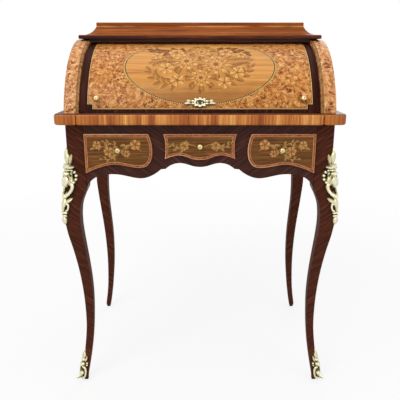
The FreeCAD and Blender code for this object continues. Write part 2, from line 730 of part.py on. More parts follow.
# Fittings behind the fall: a floor that is let in between the case sides at the back, a shelf and a
# top over it, uprights, and boards behind the drawers and pigeonholes. All of it stays inside the
# fall's swing.
node(plate_of("interior_floor", "XY_Plane", polygon(
    ("-interior_half", "interior_front"), ("interior_half", "interior_front"),
    ("interior_half", "interior_wing"), ("case_inner", "interior_wing"),
    ("case_inner", "case_back_front"), ("-case_inner", "case_back_front"),
    ("-case_inner", "interior_wing"), ("-interior_half", "interior_wing"),
), "interior_low", "interior_floor"), "interior_floor")
lower_depth, upper_depth = ("interior_front", "lower_back"), ("interior_front", "upper_back")
drawer_storey, hole_storey = ("interior_floor_top", "shelf_low"), ("shelf_top", "interior_top_low")
node(board("interior_shelf", across("interior_half"), lower_depth, ("shelf_low", "shelf_top")),
     "interior_shelf")
node(board("interior_top", across("interior_half"), upper_depth, ("interior_top_low", "interior_top_high")),
     "interior_top")
outer_wall = ("small_hole_outer", "interior_half")
lower_uprights = [
    board("lower_end", outer_wall, lower_depth, drawer_storey),
    board("lower_partition", ("small_hole_inner - interior_board", "small_hole_inner"), lower_depth,
          drawer_storey),
]
upper_uprights = [
    board("upper_end", outer_wall, upper_depth, hole_storey),
    board("upper_partition",
          ("interior_half / 3 - interior_board / 2", "interior_half / 3 + interior_board / 2"),
          ("interior_front", "upper_back - interior_board"), hole_storey),
]
all_uprights = (("interior_lower_uprights", lower_uprights), ("interior_upper_uprights", upper_uprights))
for name, uprights in all_uprights:
    node(group(name, *uprights, *(mirrored(f"{item.Name}_left", item) for item in uprights)), name)
node(group(
    "interior_backs",
    board("lower_back_board", across("small_hole_outer"), ("lower_back", "lower_back + interior_board"),
          ("interior_floor_top", "shelf_low - interior_board")),
    board("upper_back_board", across("small_hole_outer"), ("upper_back - interior_board", "upper_back"),
          hole_storey),
), "interior_backs")

# Fall: a solid curved board with a level lower edge, on two flat arms that turn on pivots fixed to
# the side aprons.
fall_outline = [
    (("axis_y - sqrt(fall_radius ^ 2 - fall_low ^ 2)", "axis_z + fall_low"),
     [on_cylinder("fall_radius", "fall_top_angle / 2")]),
    (on_cylinder("fall_radius", "fall_top_angle"), []),
    (on_cylinder("fall_inner_radius", "fall_top_angle"),
     [on_cylinder("fall_inner_radius", "fall_top_angle / 2")]),
    (("axis_y - sqrt(fall_inner_radius ^ 2 - fall_low ^ 2)", "axis_z + fall_low"), []),
]
node(plate_of("fall_panel", "YZ_Plane", fall_outline, "-fall_half", "2 * fall_half"), "fall_panel")


def spoke_corner(radius, side):
    """A corner of the arm's spoke, at a radius and on one side of its middle line."""
    across_y = f"{side} arm_spoke / 2 * sin(arm_middle_angle)"
    across_z = f"{side} arm_spoke / 2 * cos(arm_middle_angle)"
    along_y, along_z = on_cylinder(radius, "arm_middle_angle")
    return f"{along_y} {across_y}", f"{along_z} {across_z}"


def make_arm():
    """The right-hand arm: a bored hub, a spoke and a rim that follows the fall's inner face."""
    body = new_body("fall_arm_right")
    hub = sketch_on(body, "YZ_Plane", "arm_hub", "arm_inner")
    circle(hub, ("axis_y", "axis_z"), "arm_hub_radius")
    circle(hub, ("axis_y", "axis_z"), "pivot_radius + pivot_play")
    pad(body, hub, "arm_thickness")
    spoke = sketch_on(body, "YZ_Plane", "arm_spoke", "arm_inner")
    foot = "(arm_hub_radius + pivot_radius + pivot_play) / 2"
    head = "arm_radius - arm_rim / 2"
    draw(spoke, polygon(spoke_corner(foot, "-"), spoke_corner(head, "-"),
                        spoke_corner(head, "+"), spoke_corner(foot, "+")))
    pad(body, spoke, "arm_thickness")
    rim = sketch_on(body, "YZ_Plane", "arm_rim", "arm_inner")
    draw(rim, [
        (on_cylinder("arm_radius", "arm_low_angle"), [on_cylinder("arm_radius", "arm_middle_angle")]),
        (on_cylinder("arm_radius", "arm_high_angle"), []),
        (on_cylinder("arm_radius - arm_rim", "arm_high_angle"),
         [on_cylinder("arm_radius - arm_rim", "arm_middle_angle")]),
        (on_cylinder("arm_radius - arm_rim", "arm_low_angle"), []),
    ])
    pad(body, rim, "arm_thickness")
    return body


node(pair("fall_arms", make_arm()), "fall_arms")


def turned(name, axis, plane, outline):
    """A round piece turned about one of its body's own axes, from half of its section."""
    body = new_body(name)
    sketch = sketch_on(body, plane, f"{name}_section")
    draw(sketch, outline)
    feature = body.newObject("PartDesign::Revolution", f"{name}_turned")
    feature.Profile = sketch
    feature.ReferenceAxis = (next(item for item in body.Origin.OriginFeatures if item.Role == axis), [""])
    return body


pivot = turned("fall_pivot_right", "X_Axis", "XY_Plane", polygon(
    ("arm_inner - bed_gap", "0"), ("apron_inner", "0"), ("apron_inner", "pivot_plate_radius"),
    ("apron_inner - pivot_plate_thickness", "pivot_plate_radius"),
    ("apron_inner - pivot_plate_thickness", "pivot_collar_radius"),
    ("arm_outer + seat_gap", "pivot_collar_radius"), ("arm_outer + seat_gap", "pivot_radius"),
    ("arm_inner - bed_gap", "pivot_radius")))
bind(pivot, "Placement.Base.y", "axis_y")
bind(pivot, "Placement.Base.z", "axis_z")
node(pair("fall_pivots", pivot), "fall_pivots")

# Knobs: a turned foot, a thin neck and a flattened ball, along their own -Y axis.
# The first of each pair is a share of the knob's radius, the second of its length.
KNOB_SHARES = {
    "foot": ((0.0, 0.0), (0.9, 0.0), (0.9, 0.08), (0.6, 0.12)),
    "neck": ((0.46, 0.3),),
    "head": ((0.62, 0.52), (1.0, 0.72), (0.62, 0.93)),
    "dome": ((0.42, 0.98), (0.18, 1.0), (0.0, 1.0)),
}


def make_knob(name, radius, length):
    """A knob that stands on the origin and points to the front."""
    def place(part):
        return [(f"{radius} * {out}", f"-{length} * {along}") for out, along in KNOB_SHARES[part]]
    foot, neck, head, dome = map(place, ("foot", "neck", "head", "dome"))
    outline = [(foot[0], []), (foot[1], []), (foot[2], []), (foot[3], neck), (head[0], head[1:2]),
               (head[2], dome[:1]), (dome[1], []), (dome[2], [])]
    return turned(name, "Y_Axis", "XY_Plane", outline)


def set_on_fall(piece, angle, radius, x="0"):
    """Sets a piece on the fall at an angle up from the front, square to the curve."""
    y, z = on_cylinder(radius, angle)
    for axis, text in (("x", x), ("y", y), ("z", z)):
        bind(piece, f"Placement.Base.{axis}", text)
    piece.Placement.Rotation = FreeCAD.Rotation(Vector(-1, 0, 0), value(angle))
    bind(piece, "Placement.Rotation.Angle", angle)
    return piece


def set_at(piece, x, y, z):
    """Sets a piece at a place."""
    for axis, text in (("x", x), ("y", y), ("z", z)):
        bind(piece, f"Placement.Base.{axis}", text)
    return piece


node(pair("fall_knobs", set_on_fall(make_knob("fall_knob_right", "knob_radius", "knob_length"),
                                    "fall_knob_angle", "fall_radius + bed_gap", "fall_knob_place")),
     "fall_knobs")

# Keyhole plate: a leafy outline in shares of half its length and half its height, with a keyhole.
ESCUTCHEON_SHARES = (
    (1.0, 0.10), (0.84, 0.42), (0.66, 0.30), (0.54, 0.66), (0.36, 0.52), (0.22, 0.94), (0.0, 1.0),
)


def make_escutcheon():
    """The keyhole plate, flat on its back, facing the front."""
    half_length, half_height = "escutcheon_length / 2", "escutcheon_height / 2"
    upper = [(f"{half_length} * {along}", f"{half_height} * {up}") for along, up in ESCUTCHEON_SHARES]
    upper_left = [(f"-({along})", up) for along, up in reversed(upper[:-1])]
    lower_left = [(along, f"-({up})") for along, up in reversed(upper_left)]
    lower = [(along, f"-({up})") for along, up in reversed(upper)]
    body = new_body("fall_escutcheon")
    sketch = sketch_on(body, "XZ_Plane", "escutcheon_outline")
    draw(sketch, [(upper[0], upper[1:] + upper_left[:-1]), (upper_left[-1], []),
                  (lower_left[0], lower_left[1:] + lower[:-1]), (lower[-1], [])])
    pad(body, sketch, "escutcheon_thickness")
    keyhole = sketch_on(body, "XZ_Plane", "keyhole")
    slot_half, slot_low = "keyhole_slot / 2", "-keyhole_length"
    meet = "sqrt(keyhole_radius ^ 2 - (keyhole_slot / 2) ^ 2)"
    draw(keyhole, [
        ((f"-{slot_half}", slot_low), []), ((slot_half, slot_low), []),
        ((slot_half, f"-{meet}"), [("0", "keyhole_radius")]), ((f"-{slot_half}", f"-{meet}"), []),
    ])
    pocket(body, keyhole)
    return body


node(set_on_fall(make_escutcheon(), "escutcheon_angle", "fall_radius + bed_gap"), "fall_escutcheon")
lock = doc.addObject("Part::Feature", "fall_lock")
lock.Shape = Part.makeBox(
    value("lock_width"), value("lock_depth"), value("lock_height"),
    Vector(-value("lock_width") / 2, 0, -value("lock_height") / 2))
node(set_on_fall(lock, "lock_angle", "fall_inner_radius - lock_sink"), "fall_lock")

# Writing slide: a board with a leather bed, and a lip that is the plate's middle front edge.
node(board("slide_lip", across("plate_rail_inner - drawer_play"), ("plate_front", "slide_front"),
           ("plate_under", "plate_height")), "slide_lip")
bed_span = across("slide_half - leather_border")
bed_depth = ("slide_front + leather_border", "slide_back - leather_border")


def make_slide():
    """The slide's board with a shallow bed for the leather."""
    body = new_body("slide_board")
    sketch = sketch_on(body, "XY_Plane", "slide_outline", "slide_under")
    draw(sketch, rectangle(across("slide_half"), ("slide_front", "slide_back")))
    pad(body, sketch, "slide_thickness")
    doc.recompute()
    before = body.Shape.Volume
    bed = sketch_on(body, "XY_Plane", "leather_bed", "plate_height")
    draw(bed, rectangle(bed_span, bed_depth))
    cut = body.newObject("PartDesign::Pocket", "leather_bed_pocket")
    cut.Profile = bed
    bind(cut, "Length", "leather_thickness")
    doc.recompute()
    if not body.Shape.Volume < before:
        raise ValueError("the leather's bed is not cut")
    return body


node(make_slide(), "slide_board")
node(board("slide_leather", across("slide_half - leather_border - bed_gap"),
           ("slide_front + leather_border + bed_gap", "slide_back - leather_border - bed_gap"),
           ("plate_height - leather_thickness", "plate_height")), "slide_leather")

# Frieze drawers: a shaped front that laps over the frieze and has a tongue in the opening, a box of
# two sides and a back, a bottom, and a knob. Outlines are in shares of each front's own width and height.
SIDE_FRONT_SHARES = (
    (1.0, 0.0), (0.87, 0.10), (0.74, 0.176), (0.574, 0.226), (0.45, 0.205), (0.33, 0.165), (0.19, 0.14),
    (0.10, 0.17), (0.03, 0.30), (0.0, 0.52), (0.012, 0.78), (0.052, 1.0),
)
MIDDLE_SIDE_SHARES = ((1.0, 1.0), (0.958, 0.80), (0.944, 0.55), (0.946, 0.25), (0.965, 0.03))
MIDDLE_LOW_SHARES = ((0.965, 0.03), (0.80, 0.115), (0.61, 0.178), (0.40, 0.135), (0.20, 0.03), (0.0, 0.0))


def make_front(name, outline, x_span, z_span):
    """A drawer front: its lapping face, and the tongue that fills the opening behind it."""
    body = new_body(name)
    face = sketch_on(body, "XZ_Plane", f"{name}_face", "-lip_back")
    draw(face, outline)
    pad(body, face, "drawer_front_proud")
    tongue = sketch_on(body, "XZ_Plane", f"{name}_tongue", "-lip_back")
    draw(tongue, rectangle(x_span, z_span))
    pad(body, tongue, "drawer_tongue", reverse=True)
    return body


def make_box(name, x_span, z_span):
    """The two sides and the back of a drawer, and its bottom, behind its front's tongue."""
    (left, right), (low, high) = x_span, z_span
    run = ("tongue_back", "box_back")
    walls = group(
        f"{name}_walls",
        board(f"{name}_wall_a", (left, f"{left} + drawer_wall"), run, z_span),
        board(f"{name}_wall_b", (f"{right} - drawer_wall", right), run, z_span),
        board(f"{name}_wall_c", (f"{left} + drawer_wall", f"{right} - drawer_wall"),
              ("box_back - drawer_wall", "box_back"), z_span))
    inside = (f"{left} + drawer_wall", f"{right} - drawer_wall")
    bottom = board(f"{name}_bottom", inside, ("tongue_back", "box_back - drawer_wall"),
                   (low, f"{low} + drawer_floor"))
    return walls, bottom


side_box = (("side_hole_inner + drawer_play", "side_hole_outer - drawer_play"),
            ("side_hole_low + seat_gap", "hole_top - drawer_play"))
middle_box = (across("middle_hole_half - drawer_play"),
              ("middle_hole_low + seat_gap", "hole_top - drawer_play"))
side_curve = [
    (f"side_drawer_inner + side_drawer_width * {along}", f"side_drawer_low + side_drawer_height * {up}")
    for along, up in SIDE_FRONT_SHARES
]
side_outline = [
    (side_curve[0], side_curve[1:-1]), (side_curve[-1], []), (("side_drawer_outer", "drawer_top"), []),
]


def middle_place(shares):
    """Points of the middle front's right half, from shares."""
    return [(f"middle_drawer_half * {out}", f"middle_drawer_low + middle_drawer_height * {up}")
            for out, up in shares]


middle_side, middle_low = middle_place(MIDDLE_SIDE_SHARES), middle_place(MIDDLE_LOW_SHARES)
middle_outline = [
    (middle_side[0], middle_side[1:-1]),
    (middle_side[-1], middle_low[1:] + other_side(middle_low[1:-1], "0")),
    (other_side(middle_side, "0")[0], other_side(middle_side, "0")[1:-1]),
    (other_side(middle_side, "0")[-1], []),
]
right_front = node(make_front("right_drawer_front", side_outline, *side_box), "right_drawer_front")
right_walls, right_bottom = make_box("right_drawer", *side_box)
right_knob = set_at(make_knob("right_drawer_knob", "knob_radius", "knob_length"),
                    "(side_drawer_inner + side_drawer_outer) / 2", "lip_front",
                    "drawer_top - side_knob_drop")
for thing, label in ((right_walls, "walls"), (right_bottom, "bottom"), (right_knob, "knob")):
    node(thing, f"right_drawer_{label}")
    node(mirrored(f"left_drawer_{label}", thing), f"left_drawer_{label}")
node(mirrored("left_drawer_front", right_front), "left_drawer_front")
node(make_front("middle_drawer_front", middle_outline, *middle_box), "middle_drawer_front")
middle_walls, middle_bottom = make_box("middle_drawer", *middle_box)
node(middle_walls, "middle_drawer_walls")
node(middle_bottom, "middle_drawer_bottom")
node(set_at(make_knob("middle_drawer_knob", "knob_radius", "knob_length"),
            "0", "lip_front", "drawer_top - middle_knob_drop"), "middle_drawer_knob")

# Small drawers behind the fall, one at each end of the lower storey.
small_x = ("small_hole_inner + drawer_play / 2", "small_hole_outer - drawer_play / 2")
small_z = ("interior_floor_top + seat_gap", "shelf_low - drawer_play / 2")
small_back = "lower_back - drawer_play"
small_front = node(board("right_small_drawer_front", small_x, ("interior_front", "small_front_back"),
                         small_z), "right_small_drawer_front")
small_inside = (f"{small_x[0]} + interior_drawer_wall", f"{small_x[1]} - interior_drawer_wall")
small_run = ("small_front_back", small_back)
small_box = node(group(
    "right_small_drawer_box",
    board("small_wall_a", (small_x[0], small_inside[0]), small_run, small_z),
    board("small_wall_b", (small_inside[1], small_x[1]), small_run, small_z),
    board("small_wall_c", small_inside, (f"{small_back} - interior_drawer_wall", small_back), small_z),
    board("small_bottom", small_inside, ("small_front_back", f"{small_back} - interior_drawer_wall"),
          (small_z[0], f"{small_z[0]} + interior_drawer_wall")),
), "right_small_drawer_box")
small_knob = node(set_at(make_knob("right_small_drawer_knob", "small_knob_radius", "small_knob_length"),
                         "(small_hole_inner + small_hole_outer) / 2", "interior_front",
                         "(interior_floor_top + shelf_low) / 2"), "right_small_drawer_knob")
for thing, label in ((small_front, "front"), (small_box, "box"), (small_knob, "knob")):
    node(mirrored(f"left_small_drawer_{label}", thing), f"left_small_drawer_{label}")

doc.recompute()
for thing in doc.Objects:
    if "Invalid" in thing.State or "Error" in thing.State:
        raise ValueError(f"{thing.Name} failed: {thing.State}")
for thing in nodes:
    if thing.Shape.isNull() or not thing.Shape.isValid() or not thing.Shape.Solids:
        raise ValueError(f"{thing.Label} has no valid solid")

os.makedirs("parts", exist_ok=True)
for thing in nodes:
    thing.Shape.exportStep(f"parts/{thing.Label}.step")
print(len(nodes), "sub-parts written")
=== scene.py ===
"""Looks of a cylinder desk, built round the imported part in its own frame, in metres."""

import math

import bmesh
import bpy
import numpy as np
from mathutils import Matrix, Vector


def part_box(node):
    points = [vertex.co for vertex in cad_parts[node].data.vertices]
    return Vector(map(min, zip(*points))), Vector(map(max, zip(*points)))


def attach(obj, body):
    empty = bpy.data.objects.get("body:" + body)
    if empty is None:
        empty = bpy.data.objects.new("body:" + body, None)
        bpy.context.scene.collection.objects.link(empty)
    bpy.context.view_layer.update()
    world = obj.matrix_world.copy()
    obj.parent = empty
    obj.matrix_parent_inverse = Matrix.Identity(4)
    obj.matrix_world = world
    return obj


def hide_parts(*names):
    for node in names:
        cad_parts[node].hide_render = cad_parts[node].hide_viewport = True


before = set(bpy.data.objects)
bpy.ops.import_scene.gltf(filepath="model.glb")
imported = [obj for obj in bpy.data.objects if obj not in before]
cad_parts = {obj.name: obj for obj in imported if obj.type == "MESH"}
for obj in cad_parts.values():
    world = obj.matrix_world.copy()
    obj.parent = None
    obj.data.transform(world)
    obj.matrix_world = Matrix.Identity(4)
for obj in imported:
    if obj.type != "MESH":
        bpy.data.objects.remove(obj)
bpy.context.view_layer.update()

# Legs. Beech sawn to one curve from the front and one from the side, and veneered with kingwood whose grain
# is laid slantwise and meets at the outer corner. They are tenoned to the frieze and the aprons; the rear pair
# has a front curve of its own, which stands further out at the foot.
CASE_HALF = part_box("right_case_side")[1].x
CASE_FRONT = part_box("frieze_top_rail")[0].y
CASE_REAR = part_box("rear_apron")[1].y
LEG_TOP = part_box("front_right_leg")[1].z
LEG_SWEEP = 0.0156
LEG_POST = 0.044
LEG_CORNER = 0.0035
LEG_EDGE = 0.0015
LEG_OUTER_SHARES = (
    (0.0, -0.15), (0.012, 0.08), (0.03, 0.15), (0.07, -0.13), (0.135, -0.56), (0.221, -0.95), (0.305, -0.98),
    (0.387, -0.80), (0.467, -0.44), (0.545, 0.09), (0.621, 0.70), (0.696, 0.94), (0.766, 0.45), (0.836, 0.0),
)
LEG_INNER_SHARES = (
    (0.0, -0.29), (0.012, -0.30), (0.05, -0.405), (0.10, -0.545), (0.151, -0.665), (0.217, -0.774),
    (0.284, -0.838), (0.351, -0.866), (0.419, -0.836), (0.487, -0.759), (0.554, -0.661), (0.60, -0.595),
    (0.648, -0.551), (0.69, -0.57), (0.72, -0.64), (0.745, -0.78), (0.774, -1.0),
)
REAR_OUTER_SHARES = (
    (0.0, 0.52), (0.012, 0.70), (0.034, 0.57), (0.082, 0.19), (0.13, -0.10), (0.176, -0.27), (0.265, -0.44),
    (0.349, -0.37), (0.43, -0.09), (0.507, 0.35), (0.583, 0.82), (0.66, 1.16), (0.70, 1.10), (0.766, 0.60),
    (0.836, 0.0),
)
REAR_INNER_SHARES = (
    (0.0, -0.05), (0.026, -0.134), (0.074, -0.275), (0.121, -0.395), (0.166, -0.488), (0.254, -0.629),
    (0.336, -0.675), (0.416, -0.641), (0.492, -0.532), (0.568, -0.414), (0.644, -0.379), (0.69, -0.42),
    (0.72, -0.53), (0.745, -0.72), (0.774, -1.0),
)


def feed(tree, node, inputs):
    """Gives a shader node's inputs plain values or other nodes' outputs."""
    for name, value in inputs.items():
        if isinstance(value, bpy.types.NodeSocket):
            tree.links.new(value, node.inputs[name])
        else:
            node.inputs[name].default_value = value


def shade(tree, kind, inputs=None, **settings):
    """One shader node. An input is a plain value or another node's output."""
    made = tree.nodes.new(kind)
    for name, value in settings.items():
        setattr(made, name, value)
    feed(tree, made, inputs or {})
    return made


def maths(tree, operation, *values):
    """One sum in a shader, on values or other nodes' outputs."""
    return shade(tree, "ShaderNodeMath", dict(enumerate(values)), operation=operation).outputs[0]


def noise(tree, place, scale, **more):
    """A soft noise over places, as a value; its other inputs go by name."""
    return shade(tree, "ShaderNodeTexNoise", {"Vector": place, "Scale": scale, **more}).outputs[0]


def span(tree, value, low, high, first=0.0, last=1.0, **settings):
    """A value carried from one span to another, and held at its ends."""
    limits = {"Value": value, "From Min": low, "From Max": high, "To Min": first, "To Max": last}
    return shade(tree, "ShaderNodeMapRange", limits, **settings).outputs[0]


def weigh(tree, first, first_share, second, second_share):
    """The sum of two values, each times its share."""
    return maths(tree, "ADD", maths(tree, "MULTIPLY", first, first_share),
                 maths(tree, "MULTIPLY", second, second_share))


def tint(red, green, blue):
    """A colour in 8-bit display values, as a shader's linear colour."""
    shares = np.array([red, green, blue]) / 255
    linear = np.where(shares <= 0.04045, shares / 12.92, ((shares + 0.055) / 1.055) ** 2.4)
    return (*linear.tolist(), 1.0)


def ramp(tree, value, stops):
    """A colour between named stops, each a place and a colour."""
    made = shade(tree, "ShaderNodeValToRGB", {"Fac": value})
    while len(made.color_ramp.elements) < len(stops):
        made.color_ramp.elements.new(1.0)
    for element, (place, colour) in zip(made.color_ramp.elements, stops):
        element.position = place
        element.color = colour
    return made.outputs["Color"]


def new_finish(name):
    """A new material, with its nodes and its surface shader."""
    material = bpy.data.materials.new(name)
    material.use_nodes = True
    return material, material.node_tree, material.node_tree.nodes["Principled BSDF"]


def streaks_group():
    """Streaks of wood as a shader group: broad and fine noise, drawn out along the first coordinate."""
    group = bpy.data.node_groups.new("streaks", "ShaderNodeTree")
    for name, kind in (("Vector", "NodeSocketVector"), ("Broad", "NodeSocketFloat"), ("Fine", "NodeSocketFloat")):
        group.interface.new_socket(name=name, in_out="INPUT", socket_type=kind)
    group.interface.new_socket(name="Value", in_out="OUTPUT", socket_type="NodeSocketFloat")
    given, result = group.nodes.new("NodeGroupInput"), group.nodes.new("NodeGroupOutput")
    stretch = {"Vector": given.outputs["Vector"], "Scale": (0.03, 1.0, 1.0)}
    drawn = shade(group, "ShaderNodeMapping", stretch).outputs[0]
    broad = noise(group, drawn, given.outputs["Broad"], Detail=3.0, Distortion=0.4)
    fine = noise(group, drawn, given.outputs["Fine"], Detail=2.0)
    group.links.new(span(group, weigh(group, broad, 0.62, fine, 0.38), 0.33, 0.67), result.inputs["Value"])
    return group


streaks = streaks_group()


def wood(name, stops, turn=(0.0, 0.0, 0.0), broad=120.0, fine=900.0, source="Object", roughness=0.38,
         coat=0.03, gloss=0.12, matched=False, mitre=None):
    """Polished wood. The grain runs along the first axis of the coordinates after the turn. Where asked, it is
    matched left and right of the middle, or turns a corner at a mitre: beyond a half width and a front."""
    material, tree, surface = new_finish(name)
    place = shade(tree, "ShaderNodeTexCoord").outputs[source]
    if matched:
        x, y, z = shade(tree, "ShaderNodeSeparateXYZ", {"Vector": place}).outputs
        place = shade(tree, "ShaderNodeCombineXYZ", {0: maths(tree, "ABSOLUTE", x), 1: y, 2: z}).outputs[0]
    if mitre:
        half, front = mitre
        x, y, z = shade(tree, "ShaderNodeSeparateXYZ", {"Vector": place}).outputs
        aside = maths(tree, "GREATER_THAN", maths(tree, "SUBTRACT", maths(tree, "ABSOLUTE", x), half),
                      maths(tree, "SUBTRACT", front, y))
        swapped = shade(tree, "ShaderNodeCombineXYZ", {0: y, 1: x, 2: z}).outputs[0]
        change = shade(tree, "ShaderNodeVectorMath", {0: swapped, 1: place}, operation="SUBTRACT").outputs[0]
        change = shade(tree, "ShaderNodeVectorMath", {0: change, "Scale": aside}, operation="SCALE").outputs[0]
        place = shade(tree, "ShaderNodeVectorMath", {0: place, 1: change}, operation="ADD").outputs[0]
    turned = shade(tree, "ShaderNodeMapping", {"Vector": place, "Rotation": turn}, vector_type="TEXTURE")
    sizes = {"Vector": turned.outputs[0], "Broad": broad, "Fine": fine}
    figure = shade(tree, "ShaderNodeGroup", sizes, node_tree=streaks).outputs[0]
    relief = shade(tree, "ShaderNodeBump", {"Height": figure, "Strength": 0.06, "Distance": 0.0004}).outputs[0]
    feed(tree, surface, {
        "Base Color": ramp(tree, figure, stops), "Normal": relief, "Roughness": roughness,
        "Specular IOR Level": gloss, "Coat Weight": coat, "Coat Roughness": 0.12})
    return material


def piece(name, surfaces, body, materials, stands_for=(), sharp=35.0):
    """One piece from several surfaces. Each is a grid of points, or one flat outline, with its places on the
    material and a material number for each face. Points that meet are welded and faces turned outwards."""
    points, places, faces, numbers, count = [], [], [], [], 0
    for grid, place, number in surfaces:
        index = np.arange(count, count + grid[..., 0].size).reshape(grid.shape[:-1])
        if grid.ndim == 3:
            cells = np.stack([index[:-1, :-1], index[1:, :-1], index[1:, 1:], index[:-1, 1:]], -1)
            faces += cells.reshape(-1, 4).tolist()
            numbers.append(np.broadcast_to(number, cells.shape[:2]).ravel())
        else:
            faces.append(index.tolist())
            numbers.append(np.array([number]))
        points.append(grid.reshape(-1, 3))
        places.append(np.broadcast_to(place, (*grid.shape[:-1], 2)).reshape(-1, 2))
        count += index.size
    mesh = bpy.data.meshes.new(name)
    mesh.from_pydata(np.concatenate(points).tolist(), [], faces)
    corners = np.empty(len(mesh.loops), int)
    mesh.loops.foreach_get("vertex_index", corners)
    mesh.uv_layers.new(name="place").data.foreach_set("uv", np.concatenate(places)[corners].ravel())
    mesh.polygons.foreach_set("material_index", np.concatenate(numbers).astype(np.int32))
    shell = bmesh.new()
    shell.from_mesh(mesh)
    bmesh.ops.remove_doubles(shell, verts=shell.verts, dist=2e-6)
    bmesh.ops.recalc_face_normals(shell, faces=shell.faces)
    shell.to_mesh(mesh)
    shell.free()
    mesh.polygons.foreach_set("use_smooth", np.ones(len(mesh.polygons), bool))
    mesh.set_sharp_from_angle(angle=math.radians(sharp))
    for material in materials:
        mesh.materials.append(material)
    made = bpy.data.objects.new(name, mesh)
    bpy.context.scene.collection.objects.link(made)
    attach(made, body)
    if stands_for:
        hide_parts(*stands_for)
    return made


def through(points, count):
    """A smooth line through points: cubic pieces over the chord length, with a slope at each point that is
    the mean of the chords beside it."""
    points = np.asarray(points, float)
    along = np.concatenate([[0.0], np.cumsum(np.linalg.norm(np.diff(points, axis=0), axis=1))])
    slope = np.gradient(points, along, axis=0)
    spots = np.linspace(0.0, along[-1], count)
    part = np.clip(np.searchsorted(along, spots, side="right") - 1, 0, len(along) - 2)
    width = np.diff(along)[part][:, None]
    t = (spots - along[part])[:, None] / width
    return ((1 + 2 * t) * (1 - t) ** 2 * points[part] + t * (1 - t) ** 2 * width * slope[part]
            + t ** 2 * (3 - 2 * t) * points[part + 1] - t ** 2 * (1 - t) * width * slope[part + 1])


def leg_edge(shares, scale):
    """One edge of a leg in one view, as a function: how far it stands out from the case's plane at a height."""
    line = through(np.array(shares) * (LEG_TOP, scale), 400)
    return lambda heights: np.interp(heights, *line.T)


leg_outer, leg_inner = leg_edge(LEG_OUTER_SHARES, LEG_SWEEP), leg_edge(LEG_INNER_SHARES, LEG_POST)
rear_outer, rear_inner = leg_edge(REAR_OUTER_SHARES, LEG_SWEEP), leg_edge(REAR_INNER_SHARES, LEG_POST)


def leg_surfaces(side, back):
    """A leg as rounded squares over the height. Its places are the distance from the outer corner round the
    leg, and the height, so the grain is mirrored at that corner."""
    heights = LEG_TOP * np.linspace(0.0, 1.0, 150)[:, None]
    steps = np.linspace(0.0, 1.0, 7)
    turn = np.radians(np.concatenate([first - 90 * steps for first in (180, 90, 0, -90)]))
    across = np.repeat((-1, 1, 1, -1), steps.size)
    along = np.repeat((1, 1, -1, -1), steps.size)
    radius = np.repeat((LEG_EDGE, LEG_CORNER, LEG_EDGE, LEG_EDGE), steps.size)
    outer, inner = (rear_outer, rear_inner) if back else (leg_outer, leg_inner)
    out_x = np.where(across > 0, outer(heights), inner(heights)) - across * radius + radius * np.cos(turn)
    out_y = np.where(along > 0, leg_outer(heights), leg_inner(heights)) - along * radius + radius * np.sin(turn)
    y = CASE_REAR + out_y if back else CASE_FRONT - out_y
    ring = np.stack([side * (CASE_HALF + out_x), y, np.broadcast_to(heights, out_x.shape)], -1)
    ring = np.concatenate([ring, ring[:, :1]], 1)
    way = np.linalg.norm(np.diff(ring, axis=1), axis=2)
    way = np.concatenate([np.zeros((len(ring), 1)), np.cumsum(way, 1)], 1)
    corner = way[:, [steps.size + steps.size // 2]]
    place = np.stack([np.abs(way - corner), ring[..., 2]], -1)
    return [(ring, place, 0), (ring[0, :-1], place[0, :-1], 0), (ring[-1, :-1], place[-1, :-1], 0)]


KINGWOOD_STOPS = (
    (0.0, tint(42, 18, 11)), (0.4, tint(66, 31, 20)), (0.7, tint(90, 46, 30)), (1.0, tint(128, 74, 50)),
)
SLANT = math.radians(37)
leg_wood = wood("kingwood_legs", KINGWOOD_STOPS, (0.0, 0.0, -SLANT), 420.0, 1200.0, "UV", 0.5, 0.0, 0.05)
for leg, side, back in (("front_left", -1, False), ("front_right", 1, False),
                        ("rear_left", -1, True), ("rear_right", 1, True)):
    piece(f"leg_{leg}", leg_surfaces(side, back), "carcase", [leg_wood], [f"{leg}_leg"])

# Frieze and aprons. Kingwood on oak, grain laid slantwise; rails and dividers are tenoned between the legs and
# frame the drawers, with the serpentine edge sawn on the lower rail and the aprons.


def dress(node, material):
    """Gives a CAD piece its material."""
    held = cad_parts[node]
    held.data.materials.clear()
    held.data.materials.append(material)


FRIEZE_STOPS = (
    (0.0, tint(36, 14, 10)), (0.4, tint(54, 26, 19)), (0.7, tint(74, 38, 28)), (1.0, tint(110, 62, 46)),
)
frieze_wood = wood("kingwood_frieze", FRIEZE_STOPS, (0.0, -SLANT, 0.0), 420.0, 1200.0, matched=True)
apron_wood = wood("kingwood_aprons", KINGWOOD_STOPS, (SLANT, 0.0, math.pi / 2), 420.0, 1200.0)
for node in ("frieze_top_rail", "frieze_lower_rail", "frieze_dividers", "rear_apron"):
    dress(node, frieze_wood)
for node in ("left_apron", "right_apron"):
    dress(node, apron_wood)

# Runners, bearers, drawer boxes and backs. Plain oak, unpolished: runners and bearers are glued and nailed inside
# the carcase, the boxes stand behind the drawer fronts, and the backs close the case, cap and fittings.
OAK_STOPS = ((0.0, tint(112, 78, 44)), (0.5, tint(158, 120, 76)), (1.0, tint(188, 152, 104)))
oak = wood("oak", OAK_STOPS, (0.0, 0.0, math.pi / 2), 160.0, 900.0, roughness=0.6, coat=0.0)
for node in ("drawer_runners", "slide_bearers", "left_drawer_walls", "left_drawer_bottom", "middle_drawer_walls",
             "middle_drawer_bottom", "right_drawer_walls", "right_drawer_bottom", "left_small_drawer_box",
             "right_small_drawer_box"):
    dress(node, oak)
oak_back = wood("oak_backs", OAK_STOPS, broad=110.0, fine=700.0, roughness=0.6, coat=0.0)
for node in ("interior_backs", "case_back", "cap_back"):
    dress(node, oak_back)

